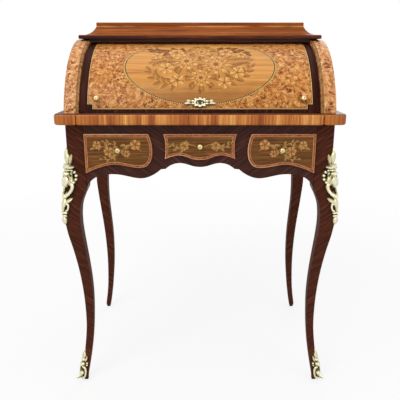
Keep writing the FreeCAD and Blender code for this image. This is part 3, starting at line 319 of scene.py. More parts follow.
# Plate. Boards with a cross-banded tulipwood edge, rounded at the outer corners and glued to the legs and aprons;
# the middle of the front is the lip of the slide.
TULIP_STOPS = (
    (0.0, tint(104, 44, 17)), (0.25, tint(155, 82, 35)), (0.55, tint(192, 116, 53)), (0.8, tint(218, 150, 79)),
    (1.0, tint(234, 180, 102)),
)
tulip_band = wood("tulipwood_banding", TULIP_STOPS, (0.0, 0.0, math.pi / 2), 36.0, 300.0, "UV", 0.3, 0.06, 0.15)
PLATE_TOP_STOPS = ((0.0, tint(62, 28, 18)), (0.5, tint(88, 46, 31)), (1.0, tint(118, 68, 46)))
plate_top = wood("plate_veneer", PLATE_TOP_STOPS, broad=200.0, fine=800.0, source="UV")
PLATE_CORNER, PLATE_JOINT = 0.016, 0.0052
PLATE_ROUND, PLATE_EASE = 0.005, 0.005


def inset(loop, distance):
    """A closed outline moved inwards, square to its edges, with mitred corners."""
    ahead = np.roll(loop, -1, 0) - loop
    ahead = ahead / np.linalg.norm(ahead, axis=1, keepdims=True)
    normal = np.stack([-ahead[:, 1], ahead[:, 0]], 1)
    mitre = normal + np.roll(normal, 1, 0)
    return loop + distance * 2 * mitre / np.sum(mitre ** 2, axis=1, keepdims=True)


def round_way(loop):
    """The distance along a closed outline, with the first point repeated at the end."""
    closed = np.concatenate([loop, loop[:1]])
    way = np.concatenate([[0.0], np.cumsum(np.linalg.norm(np.diff(closed, axis=0), axis=1))])
    return closed, way


def rounded_plan(low, high, radii):
    """A rectangle, counterclockwise, with a corner radius for each corner from low left; zero is square."""
    corners = ((low[0], low[1], 180), (high[0], low[1], 270), (high[0], high[1], 0), (low[0], high[1], 90))
    middles = (low[0] + high[0]) / 2, (low[1] + high[1]) / 2
    points = []
    for (x, y, start), radius in zip(corners, radii):
        turn = np.radians(start + np.linspace(0, 90, 9 if radius else 1))
        centre = (x - np.sign(x - middles[0]) * radius, y - np.sign(y - middles[1]) * radius)
        points.append(np.stack([centre[0] + radius * np.cos(turn), centre[1] + radius * np.sin(turn)], 1))
    return np.concatenate(points)


def board_surfaces(plan, low, high, ease, under, flush=None):
    """A flat board from its plan, its edges rounded above by ease and below by under, but for a rear edge that lies
    flush with the next board. Its places are the distance round the plan, and across; the flat faces, and the top's
    rounding from half way, have the second material."""
    turn = np.radians(np.linspace(0, 90, 5))
    rows = [(under * (1 - math.cos(a)), low + under * (1 - math.sin(a))) for a in turn[::-1]]
    rows += [(ease * (1 - math.cos(a)), high - ease * (1 - math.sin(a))) for a in turn]
    grid, place = [], []
    for step, height in rows:
        loop = inset(plan, step)
        if flush is not None:
            loop[np.isclose(plan[:, 1], flush), 1] = flush
        closed, _ = round_way(loop)
        _, way = round_way(plan)
        grid.append(np.column_stack([closed, np.full(len(closed), height)]))
        place.append(np.column_stack([way, np.full(len(way), step + height)]))
    grid, place = np.stack(grid), np.stack(place)
    lids = [(grid[row, :-1], grid[row, :-1, :2], 1) for row in (0, -1)]
    numbers = (np.arange(len(rows) - 1) >= len(rows) - 3).astype(int)[:, None]
    return [(grid, place, numbers), *lids]


for side, name in ((-1, "left"), (1, "right")):
    low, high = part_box(f"{name}_plate_rail")
    radii = (PLATE_CORNER, PLATE_JOINT, 0, PLATE_CORNER)
    if side > 0:
        radii = (PLATE_JOINT, PLATE_CORNER, PLATE_CORNER, 0)
    surfaces = board_surfaces(rounded_plan(low, high, radii), low.z, high.z, PLATE_ROUND, PLATE_EASE)
    piece(f"plate_{name}", surfaces, "carcase", [tulip_band, plate_top], [f"{name}_plate_rail"])
for name, node, body in (("plate_back", "rear_plate_rail", "carcase"), ("slide_front", "slide_lip", "slide")):
    low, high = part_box(node)
    plan = rounded_plan(low, high, (PLATE_JOINT, PLATE_JOINT, 0, 0))
    flush = high.y if body == "slide" else None
    surfaces = board_surfaces(plan, low.z, high.z, PLATE_ROUND, PLATE_EASE, flush)
    piece(name, surfaces, body, [tulip_band, plate_top], [node])

# Case. Two sides with a quarter-round front edge, veneered with burl, stand on the plate; two light beads run
# up the inner edge of each. Behind is a plain back.
AXIS_Y, AXIS_Z = 0.0102, 0.6804
CASE_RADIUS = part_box("right_case_side")[1].z - AXIS_Z
BEAD_WIDTH = 0.0021
BEAD_GAP = 0.0009


def blend(tree, share, first, second):
    """A colour between two, by a share."""
    return shade(tree, "ShaderNodeMix", {0: share, 6: first, 7: second}, data_type="RGBA").outputs[2]


def apart(tree, first, second):
    """How far two values lie apart."""
    return maths(tree, "ABSOLUTE", maths(tree, "SUBTRACT", first, second))


def burl_wood(name, source, stops):
    """Polished burl: a mottled golden ground, curling lines where a bent noise passes even steps, and clusters
    of dark eyes."""
    material, tree, surface = new_finish(name)
    place = shade(tree, "ShaderNodeTexCoord").outputs[source]
    wander = shade(tree, "ShaderNodeTexNoise", {"Vector": place, "Scale": 24.0, "Detail": 3.0}).outputs["Color"]
    pushed = shade(tree, "ShaderNodeVectorMath", {0: wander, 1: (0.03, 0.03, 0.03)}, operation="MULTIPLY")
    bent = shade(tree, "ShaderNodeVectorMath", {0: place, 1: pushed.outputs[0]}, operation="ADD").outputs[0]
    mottle = noise(tree, bent, 105.0, Detail=5.0, Roughness=0.6)
    swirl = noise(tree, bent, 210.0, Detail=3.0, Distortion=2.5)
    ground = weigh(tree, mottle, 0.6, swirl, 0.4)
    curl = noise(tree, bent, 42.0, Detail=2.0, Distortion=1.6)
    step = maths(tree, "FRACT", maths(tree, "MULTIPLY", curl, 13.0))
    line = span(tree, apart(tree, step, 0.5), 0.0, 0.18, 0.7, 0.0)
    colour = blend(tree, line, ramp(tree, ground, stops), tint(128, 66, 26))
    eyes = shade(tree, "ShaderNodeTexVoronoi", {"Vector": bent, "Scale": 125.0}).outputs["Distance"]
    size = span(tree, noise(tree, place, 22.0, Detail=2.0), 0.44, 0.6, 0.06, 0.4)
    dark = span(tree, maths(tree, "SUBTRACT", size, eyes), -0.03, 0.1, 0.0, 0.85)
    relief = shade(tree, "ShaderNodeBump", {"Height": ground, "Strength": 0.05, "Distance": 0.0004}).outputs[0]
    feed(tree, surface, {
        "Base Color": blend(tree, dark, colour, tint(92, 42, 18)), "Normal": relief, "Roughness": 0.36,
        "Specular IOR Level": 0.12, "Coat Weight": 0.03, "Coat Roughness": 0.1})
    return material


def on_cylinder(x, turn, radius):
    """Points about the fall's axis, at an angle that rises from the front."""
    x, turn, radius = np.broadcast_arrays(x, turn, radius)
    return np.stack([x, AXIS_Y - radius * np.cos(turn), AXIS_Z + radius * np.sin(turn)], -1)


def bead_surfaces(middle):
    """A half-round bead carried up the case's front edge; the section is a circle sunk by half."""
    first = math.asin((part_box("right_case_side")[0].z - AXIS_Z) / CASE_RADIUS)
    turn = np.linspace(first, math.pi / 2, 70)[:, None]
    round_about = np.linspace(0, 2 * math.pi, 15)
    grid = on_cylinder(middle + BEAD_WIDTH / 2 * np.cos(round_about), turn,
                       CASE_RADIUS + BEAD_WIDTH / 2 * np.sin(round_about))
    place = np.stack(np.broadcast_arrays(turn * CASE_RADIUS, round_about * BEAD_WIDTH / 2), -1)
    return [(grid, place, 0), (grid[0, :-1], 0.0, 0), (grid[-1, :-1], 0.0, 0)]


CASE_STOPS = (
    (0.37, tint(116, 56, 22)), (0.45, tint(184, 116, 62)), (0.53, tint(220, 160, 102)), (0.63, tint(248, 208, 154)),
)
burl = burl_wood("burl_case", "Object", CASE_STOPS)
BOX_STOPS = ((0.0, tint(196, 150, 84)), (0.5, tint(222, 184, 116)), (1.0, tint(238, 208, 148)))
boxwood = wood("boxwood", BOX_STOPS, source="UV", broad=60.0, fine=500.0)
BEAD_STOPS = ((0.0, tint(104, 68, 32)), (0.5, tint(150, 108, 56)), (1.0, tint(196, 154, 92)))
bead_wood = wood("boxwood_beads", BEAD_STOPS, source="UV", broad=60.0, fine=500.0)
for side, name in ((-1, "left"), (1, "right")):
    dress(f"{name}_case_side", burl)
    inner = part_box("right_case_side")[0].x
    middles = [inner + BEAD_WIDTH * (number + 0.5) + BEAD_GAP * (number + 1) for number in range(2)]
    surfaces = [surface for middle in middles for surface in bead_surfaces(side * middle)]
    piece(f"case_beads_{name}", surfaces, "carcase", [bead_wood])

# Cap. A base board with a dark edge, a cove round three sides and a flat top, in mahogany-coloured veneer,
# glued up and screwed down on the case; a dark rail hangs under its front edge.
CAP_STOPS = (
    (0.0, tint(94, 42, 12)), (0.4, tint(136, 68, 20)), (0.75, tint(160, 86, 28)), (1.0, tint(188, 112, 44)),
)
CAP_EASE = 0.0014
HIGHLIGHT_REACH = 0.0026


def lay_over(material, share, colour):
    """Lays a colour over a material's own, by a share."""
    tree = material.node_tree
    base = tree.nodes["Principled BSDF"].inputs["Base Color"]
    tree.links.new(blend(tree, share, base.links[0].from_socket, colour), base)


def painted_edge_highlight(material, height, colour):
    """A painted highlight along an edge at one height, laid over the wood in patches by a noise along the edge."""
    tree = material.node_tree
    place = shade(tree, "ShaderNodeTexCoord").outputs["Object"]
    up = shade(tree, "ShaderNodeSeparateXYZ", {"Vector": place}).outputs[2]
    near = span(tree, apart(tree, up, height), 0.0, HIGHLIGHT_REACH, 1.0, 0.0)
    # The noise breaks the painted highlight into patches.
    patchy_share = span(tree, noise(tree, place, 9.0, Detail=4.0), 0.44, 0.6)
    lay_over(material, maths(tree, "MULTIPLY", near, patchy_share), colour)


low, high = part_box("cap_top")
cap_wood, cove_wood = (
    wood(name, CAP_STOPS, broad=170.0, fine=800.0, roughness=0.34, coat=0.0, gloss=0.08, mitre=mitre)
    for name, mitre in (("cap_veneer", None), ("cap_cove_veneer", (high.x, low.y))))
# A pale painted highlight runs along the lid's lower edge and the cove's top edge.
for finish in (cap_wood, cove_wood):
    painted_edge_highlight(finish, low.z, tint(214, 158, 100))
dark_edge = wood("kingwood_edge", KINGWOOD_STOPS, broad=200.0, fine=900.0)
dress("cap_cove", cove_wood)
dress("cap_front_rail", dark_edge)
for name, node, finish, slot in (("cap_board", "cap_base", dark_edge, "kingwood"),
                                 ("cap_lid", "cap_top", cap_wood, "tulipwood")):
    low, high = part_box(node)
    surfaces = board_surfaces(rounded_plan(low, high, (0, 0, 0, 0)), low.z, high.z, CAP_EASE, CAP_EASE)
    piece(name, surfaces, "carcase", [finish, finish], [node])

# Fittings behind the fall. Thin satinwood boards, housed together on a floor: two small drawers below and
# pigeonholes above.
SATIN_STOPS = (
    (0.0, tint(164, 108, 48)), (0.45, tint(202, 144, 72)), (0.75, tint(218, 164, 88)), (1.0, tint(230, 182, 108)),
)
satin = wood("satinwood", SATIN_STOPS, broad=70.0, fine=500.0, roughness=0.3)
for node in ("interior_floor", "interior_shelf", "interior_top", "interior_lower_uprights",
             "interior_upper_uprights", "left_small_drawer_front", "right_small_drawer_front"):
    dress(node, satin)

# Slide. A board veneered like the top of the plate, with a panel of tooled leather glued in a bed; it runs on
# the bearers and is drawn out by its lip.
TOOLED_LINES = ((0.010, 0.0011), (0.0145, 0.0005))
TOOLED_GILT = tint(176, 146, 78)
LEATHER_STOPS = ((0.3, tint(40, 58, 40)), (0.7, tint(66, 86, 58)))


def leather_cover(low, high):
    """Writing leather: a fine pebbled grain with a slow change of colour, and two gilt lines tooled along the
    edge, at even distances from the nearest side."""
    material, tree, surface = new_finish("leather")
    place = shade(tree, "ShaderNodeTexCoord").outputs["Object"]
    colour = ramp(tree, noise(tree, place, 9.0, Detail=4.0), LEATHER_STOPS)
    x, y, _ = shade(tree, "ShaderNodeSeparateXYZ", {"Vector": place}).outputs
    aside = maths(tree, "SUBTRACT", high.x, maths(tree, "ABSOLUTE", x))
    ends = maths(tree, "MINIMUM", maths(tree, "SUBTRACT", y, low.y), maths(tree, "SUBTRACT", high.y, y))
    inwards = maths(tree, "MINIMUM", aside, ends)
    for distance, half_width in TOOLED_LINES:
        colour = blend(tree, maths(tree, "COMPARE", inwards, distance, half_width), colour, TOOLED_GILT)
    pebble = shade(tree, "ShaderNodeTexVoronoi", {"Vector": place, "Scale": 1100.0}).outputs["Distance"]
    relief = shade(tree, "ShaderNodeBump", {"Height": pebble, "Strength": 0.2, "Distance": 0.0003}).outputs[0]
    feed(tree, surface, {"Base Color": colour, "Normal": relief, "Roughness": 0.5})
    return material


slide_veneer = wood("slide_veneer", PLATE_TOP_STOPS, broad=200.0, fine=800.0)
dress("slide_board", slide_veneer)
dress("slide_leather", leather_cover(*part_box("slide_leather")))

# Arms, pivots and lock. Forged and filed iron: a flat arm is screwed inside each end of the fall and turns on a
# pivot on the side apron; the lock is let into the back of the fall.
IRON_STOPS = ((0.3, tint(58, 56, 54)), (0.7, tint(98, 95, 92)))


def iron_work():
    """Dark worked iron with a patchy sheen."""
    material, tree, surface = new_finish("iron")
    patch = noise(tree, shade(tree, "ShaderNodeTexCoord").outputs["Object"], 120.0, Detail=4.0)
    feed(tree, surface, {
        "Base Color": ramp(tree, patch, IRON_STOPS), "Roughness": span(tree, patch, 0.0, 1.0, 0.35, 0.65),
        "Metallic": 1.0})
    return material


iron = iron_work()
for node in ("fall_arms", "fall_pivots", "fall_lock"):
    dress(node, iron)

# Fall. A solid curved board: kingwood border, boxwood stringing with stepped lower corners, burl ground and a
# satinwood oval let into it with a marquetry bouquet.
FALL_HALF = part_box("fall_panel")[1].x
FALL_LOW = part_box("fall_panel")[0].z - AXIS_Z
FALL_RADIUS = 0.230
FALL_THICKNESS = 0.016
FALL_TOP = math.radians(88)
STRING_HALF = 0.273
STRING_LOW = FALL_RADIUS * math.radians(18.4)
STRING_TOP = FALL_RADIUS * math.radians(85)
STRING_STEP_WIDTH, STRING_STEP_HEIGHT = 0.0126, 0.012
STRING_LIGHT, STRING_DARK = 0.0016, 0.0009
OVAL_MIDDLE = math.radians(48.5)
OVAL_HALF_WIDTH, OVAL_HALF_HEIGHT = 0.1905, 0.112
OVAL_LINE_SHARE, OVAL_STRING_SHARE = 0.972, 0.981
INLAY = 0.00012
STRING_INLAY = INLAY * 1.2
FALL_LINES = np.linspace(-0.25, 0.25, 21)


def fall_surfaces():
    """The board between two cylinders, a level lower edge and a radial upper one. Grid lines follow the stringing,
    so each veneer has whole faces. Places are the distance across, and along the curve."""
    depths = np.array([0.0, STRING_LIGHT, STRING_LIGHT + STRING_DARK])
    x = np.concatenate([STRING_HALF - depths, STRING_HALF - STRING_STEP_WIDTH - depths])
    x = np.unique(np.concatenate([[-FALL_HALF, FALL_HALF], -x, x, FALL_LINES]))
    arc_low, arc_top = FALL_RADIUS * math.asin(FALL_LOW / FALL_RADIUS), FALL_RADIUS * FALL_TOP
    arc = np.concatenate([STRING_LOW + depths, STRING_LOW + STRING_STEP_HEIGHT + depths, STRING_TOP - depths])
    arc = np.unique(np.concatenate([arc, np.linspace(arc_low, arc_top, 64)]))
    middle_x, middle_arc = np.abs(x[1:] + x[:-1]) / 2, ((arc[1:] + arc[:-1]) / 2)[:, None]

    def within(depth):
        """Whether a face's middle lies inside the stringing's outline, set in by a depth."""
        in_step = ((middle_x > STRING_HALF - STRING_STEP_WIDTH - depth)
                   & (middle_arc < STRING_LOW + STRING_STEP_HEIGHT + depth))
        return ((middle_x < STRING_HALF - depth) & (middle_arc > STRING_LOW + depth)
                & (middle_arc < STRING_TOP - depth) & ~in_step)

    number = np.select([within(depths[2]), within(depths[1]), within(depths[0])], [2, 0, 1], 0)
    share = ((arc - arc_low) / (arc_top - arc_low))[:, None]
    inner_radius = FALL_RADIUS - FALL_THICKNESS
    inner_low = math.asin(FALL_LOW / inner_radius)
    outer = on_cylinder(x, arc[:, None] / FALL_RADIUS, FALL_RADIUS)
    inner = on_cylinder(x, inner_low + share * (FALL_TOP - inner_low), inner_radius)
    place = np.stack(np.broadcast_arrays(x, arc[:, None]), -1)
    edges = [(np.stack([outer[row], inner[row]]), place[[row, row]], 0) for row in (0, -1)]
    ends = [(np.stack([outer[:, end], inner[:, end]]), place[None, :, end].repeat(2, 0), 0) for end in (0, -1)]
    return [(outer, place, number), (inner, place, 3), *edges, *ends]


BORDER_STOPS = (
    (0.0, tint(28, 9, 4)), (0.4, tint(44, 16, 8)), (0.7, tint(63, 26, 13)), (1.0, tint(96, 48, 26)),
)
border_wood = wood("kingwood_border", BORDER_STOPS, (0.0, 0.0, math.pi / 2), 120.0, 700.0, "UV", 0.45, 0.0, 0.05)
BURL_STOPS = (
    (0.37, tint(98, 44, 14)), (0.45, tint(174, 103, 46)), (0.53, tint(210, 144, 76)), (0.63, tint(242, 194, 122)),
)
fall_burl = burl_wood("burl_fall", "UV", BURL_STOPS)
fall_back = wood("satinwood_fall", SATIN_STOPS, broad=70.0, fine=500.0, source="UV")
piece("fall_board", fall_surfaces(), "fall", [border_wood, boxwood, fall_burl, fall_back], ["fall_panel"])


def on_fall(x, arc, height):
    """Points on the fall's face: across and up from the oval's middle, and off the face."""
    return on_cylinder(x, OVAL_MIDDLE + arc / FALL_RADIUS, FALL_RADIUS + height)


def oval_surfaces(inner, outer, height):
    """A flat elliptic ring, or a disc from zero, in shares of the oval's half sizes. It is a thin closed veneer; a
    ring's places are the share of the turn, and across."""
    turn = np.linspace(0, 2 * math.pi, 121)
    rows = np.linspace(inner, outer, 24 if inner == 0 else 3)
    share = np.concatenate([[inner], rows, [outer], rows[::-1]])[:, None]
    lift = np.repeat([-INLAY, height, -INLAY], [1, rows.size, 1 + rows.size])[:, None]
    x, arc = share * OVAL_HALF_WIDTH * np.cos(turn), share * OVAL_HALF_HEIGHT * np.sin(turn)
    grid = on_fall(x, arc, np.broadcast_to(lift, x.shape))
    if inner:
        x, arc = np.broadcast_arrays(turn / (2 * math.pi), share)
    return [(grid, np.stack([x, arc], -1), 0)]


OVAL_STOPS = (
    (0.0, tint(174, 110, 50)), (0.4, tint(200, 138, 70)), (0.7, tint(214, 152, 80)), (1.0, tint(226, 170, 96)),
)
oval_wood = wood("satinwood_oval", OVAL_STOPS, broad=90.0, fine=520.0, source="UV", roughness=0.34)


def darken_towards_bottom(material, low, high, colour):
    """The veneer turns darker towards the lower edge, unevenly."""
    tree = material.node_tree
    place = shade(tree, "ShaderNodeTexCoord").outputs["UV"]
    up = shade(tree, "ShaderNodeSeparateXYZ", {"Vector": place}).outputs[1]
    level = maths(tree, "ADD", up, maths(tree, "MULTIPLY", noise(tree, place, 26.0, Detail=4.0), 0.05))
    lay_over(material, span(tree, level, low, high, 0.62, 0.0, interpolation_type="SMOOTHSTEP"), colour)


DARKER_LOW, DARKER_HIGH = -0.075, -0.005
darken_towards_bottom(oval_wood, DARKER_LOW, DARKER_HIGH, tint(132, 78, 36))
ROPE_PIECES = 210.0
ROPE_STOPS = ((0.3, tint(196, 164, 92)), (0.7, tint(230, 206, 138)))


def rope_string():
    """Rope stringing: short pieces of light and dark wood in turn, by the share of the way round."""
    material, tree, surface = new_finish("rope_string")
    place = shade(tree, "ShaderNodeTexCoord")
    round_share = shade(tree, "ShaderNodeSeparateXYZ", {"Vector": place.outputs["UV"]}).outputs[0]
    step = maths(tree, "FRACT", maths(tree, "MULTIPLY", round_share, ROPE_PIECES))
    dark = span(tree, apart(tree, step, 0.5), 0.28, 0.34)
    light = ramp(tree, noise(tree, place.outputs["Object"], 500.0), ROPE_STOPS)
    feed(tree, surface, {
        "Base Color": blend(tree, dark, light, tint(74, 48, 24)), "Roughness": 0.36, "Specular IOR Level": 0.12})
    return material


piece("fall_oval", oval_surfaces(0.0, OVAL_LINE_SHARE, INLAY), "fall", [oval_wood])
line = oval_surfaces(OVAL_LINE_SHARE, OVAL_STRING_SHARE, STRING_INLAY)
piece("fall_oval_line", line, "fall", [border_wood])
string = oval_surfaces(OVAL_STRING_SHARE, 1.0, STRING_INLAY)
piece("fall_oval_string", string, "fall", [rope_string()])
CAST_SUNK = 0.0003
SPRAY_FIRST_SHARE, SPRAY_WIDTH_SHARE, SPRAY_LEAN = 0.25, 0.3, 0.75


def leaf(base, tip, half_width, height, bow=0.0, lobes=0, groove=0.4, flat=False, swell=0.8):
    """A leaf from base to tip, as (across, up, height, places). Its edge is a sine over the length, notched into
    lobes and widest nearer the tip where swell is large; its section is half an ellipse with a groove down the
    middle, or flat; bow bends the midline."""
    base, tip = np.array(base, float), np.array(tip, float)
    t = np.linspace(0, 1, 9 * max(lobes, 2))[:, None]
    turn = np.linspace(0, 2 * math.pi, 17)
    axis = tip - base
    normal = np.array([-axis[1], axis[0]]) / np.linalg.norm(axis)
    width = half_width * np.sin(math.pi * np.clip(t, 0, 1) ** swell) ** 0.7
    width = width * (1 - (0.34 if lobes else 0.0) * np.abs(np.sin(math.pi * lobes * t)) ** 3)
    side = bow * np.sin(math.pi * t) + width * np.cos(turn)
    crown = np.clip(np.sin(turn), 0, 1)
    crown = np.clip(crown * 9, 0, 1) if flat else crown * (1 - groove * np.exp(-(np.cos(turn) / 0.16) ** 2))
    share = np.sin(math.pi * np.clip(t * 0.92 + 0.04, 0, 1)) ** 0.5
    up = np.where(np.sin(turn) < -1e-9, -INLAY if flat else -CAST_SUNK, height * crown * share)
    across, along = base[0] + axis[0] * t + normal[0] * side, base[1] + axis[1] * t + normal[1] * side
    # On a cast leaf the first place is painted light: bright on the crown, darker on the flanks and in the groove
    # as painted shade. On a flat leaf it shades the veneer from one edge to the other.
    shine = np.broadcast_to((np.cos(turn) + 1) / 2 if flat else 0.1 + 0.9 * np.sqrt(crown), side.shape)
    place = np.stack([shine, np.broadcast_to(t, side.shape)], -1)
    return across, along, np.broadcast_to(up, side.shape), place


def stem(points, first, last, lift=0.0, flat=False, count=40):
    """A round stem through points that thins from one radius to the other and closes at both ends; flat for
    marquetry."""
    line = through(points, count)
    ahead = np.gradient(line, axis=0)
    ahead = ahead / np.linalg.norm(ahead, axis=1, keepdims=True)
    t = np.linspace(0, 1, count)[:, None]
    radius = (first + (last - first) * t) * np.sqrt(1 - np.abs(2 * t - 1) ** 16)
    turn = np.linspace(0, 2 * math.pi, 13)
    across = line[:, :1] - ahead[:, 1:] * radius * np.cos(turn)
    along = line[:, 1:] + ahead[:, :1] * radius * np.cos(turn)
    crown = np.sin(turn)
    up = np.where(crown < -1e-9, -INLAY, INLAY) if flat else lift + radius * (0.8 + crown)
    # On a cast stem the first place is painted light: brighter on top, darker underneath as painted shade.
    place = np.stack(np.broadcast_arrays(0.5 + 0.5 * crown, t), -1)
    return across, along, np.broadcast_to(up, across.shape), place


def boss(middle, half_width, half_height, height):
    """A domed oval boss: the height falls off as a circle does, and the back is flat and sunk."""
    turn = np.linspace(0, 2 * math.pi, 25)
    share = np.sin(np.linspace(0, math.pi / 2, 8))[:, None] * np.ones(turn.size)
    crown = np.sqrt(np.clip(1 - share ** 2, 0, 1))
    share = np.concatenate([share, [np.zeros(turn.size)]])
    up = np.concatenate([height * crown, [np.full(turn.size, -CAST_SUNK)]])
    across = middle[0] + half_width * share * np.cos(turn)
    along = middle[1] + half_height * share * np.sin(turn)
    # The first place is bright on the crown and falls to the rim: on cast brass a painted highlight and painted
    # shade, on marquetry a veneer shaded darker to its edge.
    shine = np.concatenate([0.2 + 0.8 * crown, [np.zeros(turn.size)]])
    return across, along, up, np.stack([shine, share], -1)


def set_in(parts, place_on, numbers=0):
    """Lays parts on a face. place_on turns across, up and height into points."""
    numbers = np.broadcast_to(numbers, len(parts))
    return [(place_on(across, along, up), place, int(number))
            for (across, along, up, place), number in zip(parts, numbers)]


def blossom(middle, radius, petals, turn=0.0):
    """A flat flower: petals round a middle, each a short broad leaf."""
    angles = turn + np.arange(petals) * 2 * math.pi / petals
    return [leaf(np.array(middle) + 0.12 * radius * np.array([math.cos(a), math.sin(a)]),
                 np.array(middle) + radius * np.array([math.cos(a), math.sin(a)]),
                 radius * math.sin(math.pi / petals) * 0.95, INLAY, flat=True, swell=2.1) for a in angles]


def spray(points, leaf_length, count):
    """Flat leaves along a stem, to the left and right in turn, pointing forwards."""
    line = through(points, 60)
    leaves = []
    for number, share in enumerate(np.linspace(SPRAY_FIRST_SHARE, 1.0, count)):
        index = min(int(share * 59), 58)
        ahead = line[index + 1] - line[index]
        lean = math.atan2(ahead[1], ahead[0]) + (SPRAY_LEAN if number % 2 else -SPRAY_LEAN) * (share < 1)
        length = leaf_length * (1.15 - 0.4 * share)
        tip = line[index] + length * np.array([math.cos(lean), math.sin(lean)])
        leaves.append(leaf(line[index], tip, length * SPRAY_WIDTH_SHARE, INLAY, bow=length * 0.08, flat=True))
    return leaves


def marquetry(name, dark, light, vein):
    """A stained veneer, shaded from one edge to the other, with a fine vein along the leaf."""
    material, tree, surface = new_finish(name)
    place = shade(tree, "ShaderNodeTexCoord")
    across = shade(tree, "ShaderNodeSeparateXYZ", {"Vector": place.outputs["UV"]}).outputs[0]
    grain = noise(tree, place.outputs["Object"], 260.0, Detail=3.0)
    patchy_share = maths(tree, "ADD", across, maths(tree, "MULTIPLY", grain, 0.5))
    body = ramp(tree, patchy_share, ((0.3, dark), (0.75, light)))
    on_vein = span(tree, apart(tree, across, 0.5), 0.03, 0.07, 0.7, 0.0)
    feed(tree, surface, {
        "Base Color": blend(tree, on_vein, body, vein), "Roughness": 0.36, "Specular IOR Level": 0.12,
        "Coat Weight": 0.03, "Coat Roughness": 0.12})
    return material


leaf_wood = marquetry("marquetry_leaves", tint(128, 78, 30), tint(190, 130, 62), tint(96, 54, 20))
petal_wood = marquetry("marquetry_petals", tint(160, 96, 42), tint(222, 166, 92), tint(130, 76, 32))
dark_wood = marquetry("marquetry_dark", tint(96, 54, 22), tint(144, 90, 40), tint(72, 40, 16))
heart_wood = marquetry("marquetry_hearts", tint(138, 80, 34), tint(202, 142, 72), tint(104, 58, 24))
INLAY_WOODS = [leaf_wood, petal_wood, dark_wood, heart_wood]
MM = 0.001
BOUQUET_BRANCHES = (
    ((26, -30), (62, -46), (98, -34), (126, -4)), ((22, 42), (54, 66), (88, 68), (116, 50)),
    ((-28, -26), (-64, -54), (-102, -46), (-124, -16)), ((-26, 36), (-56, 64), (-90, 58), (-120, 70)),
    ((-60, 6), (-88, 20), (-112, 14)), ((64, 4), (92, 18), (118, 22)),
)
BOUQUET_ROSES = (((-34, 18), 41, 8), ((40, 6), 45, 9), ((2, -38), 33, 8), ((4, 60), 31, 7))
BOUQUET_FLOWERS = (
    ((-84, -8), 19, 6), ((92, -22), 18, 5), ((-60, 54), 20, 6), ((66, 58), 18, 5), ((-56, -46), 17, 5),
    ((60, -52), 17, 5), ((104, 44), 13, 5), ((-108, 40), 14, 5),
)


def at(*points):
    """Places in millimetres, as metres."""
    return np.array(points, float) * MM


def bouquet():
    """The oval's bouquet: tied stems, leaves in shadow, four roses of three rings of petals, smaller flowers, and
    leafy branches that sweep out to the sides."""
    branches = [at(*path) for path in BOUQUET_BRANCHES]
    parts = [(stem(at((0, -84), (way * 0.4, -50), (way, -20)), 0.0014, 0.0010, flat=True), 2)
             for way in (-26, -9, 8, 25)]
    parts += [(stem(path, 0.0014, 0.0007, flat=True), 2) for path in branches]
    parts += [(part, 2 if number in (1, 3) else 0) for number, path in enumerate(branches)
              for part in spray(path, 0.027, 11)]
    for number, (place, radius, petals) in enumerate(BOUQUET_ROSES):
        middle, turn = at(place)[0], 0.3 * number
        parts += [(part, 0) for part in blossom(middle, radius * 1.22 * MM, petals, turn + 0.4)]
        for share, wood_number, turned in ((1.0, 1, 0.0), (0.74, 3, 0.5), (0.48, 1, 0.2)):
            parts += [(part, wood_number) for part in blossom(middle, radius * share * MM, petals, turn + turned)]
        parts += [(boss(middle, radius * 0.16 * MM, radius * 0.16 * MM, INLAY * 2), 2)]
    for number, (place, radius, petals) in enumerate(BOUQUET_FLOWERS):
        middle = at(place)[0]
        parts += [(part, 1) for part in blossom(middle, radius * MM, petals, 0.4 * number)]
        parts += [(boss(middle, radius * 0.2 * MM, radius * 0.2 * MM, INLAY * 2), 2)]
    shapes, numbers = zip(*parts)
    layers = np.linspace(0.0, INLAY, len(shapes))
    raised = [(across, along, up + layer, place) for (across, along, up, place), layer in zip(shapes, layers)]
    return set_in(raised, lambda x, arc, up: on_fall(x, arc, up + INLAY), numbers)


piece("fall_bouquet", bouquet(), "fall", INLAY_WOODS)

# Drawer fronts. Shaped boards that stand proud of the frieze: a pale edge, lightened as a painted highlight on its
# rounding, tulipwood banding between fine lines, and a field with a flat spray of flowers. A tongue behind each is
# let between the box's sides.
SEAT_GAP = 0.0003
LIP_BACK = CASE_FRONT - SEAT_GAP
LIP_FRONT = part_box("right_drawer_front")[0].y
SIDE_FRONT_INNER = 0.1173
MIDDLE_FRONT_HEIGHT = 0.0634
SIDE_SPRAY_MIDDLE = (0.2002, 0.656)
SPRAY_STEM = (0.0009, 0.0005)
SIDE_FRONT_SHARES = (
    (1.0, 0.0), (0.87, 0.10), (0.74, 0.176), (0.574, 0.226), (0.45, 0.205), (0.33, 0.165), (0.19, 0.14),
    (0.10, 0.17), (0.03, 0.30), (0.0, 0.52), (0.012, 0.78), (0.052, 1.0),
)
MIDDLE_SIDE_SHARES = ((1.0, 1.0), (0.958, 0.80), (0.944, 0.55), (0.946, 0.25), (0.965, 0.03))
MIDDLE_LOW_SHARES = ((0.965, 0.03), (0.80, 0.115), (0.61, 0.178), (0.40, 0.135), (0.20, 0.03), (0.0, 0.0))
FRONT_ROWS = (
    (0.0, 0.0060, 0), (0.0, 0.0012, 0), (0.0004, 0.0004, 0), (0.0011, 0.0, 0), (0.0019, 0.0, 3), (0.0022, 0.0, 1),
    (0.0053, 0.0, 3), (0.0056, 0.0, 0), (0.0066, 0.0, 2),
)
FRONT_POINTS = 60


def side_outline():
    """A side drawer's outline as its outer side, top and lower curve, counterclockwise from the low outer
    corner."""
    low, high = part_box("right_drawer_front")
    size, first = (high.x - SIDE_FRONT_INNER, high.z - low.z), (SIDE_FRONT_INNER, low.z)
    curve = through(np.array(SIDE_FRONT_SHARES) * size, 110) + first
    return [np.array([(high.x, low.z), (high.x, high.z)]), np.array([(high.x, high.z), curve[-1]]), curve[::-1]]


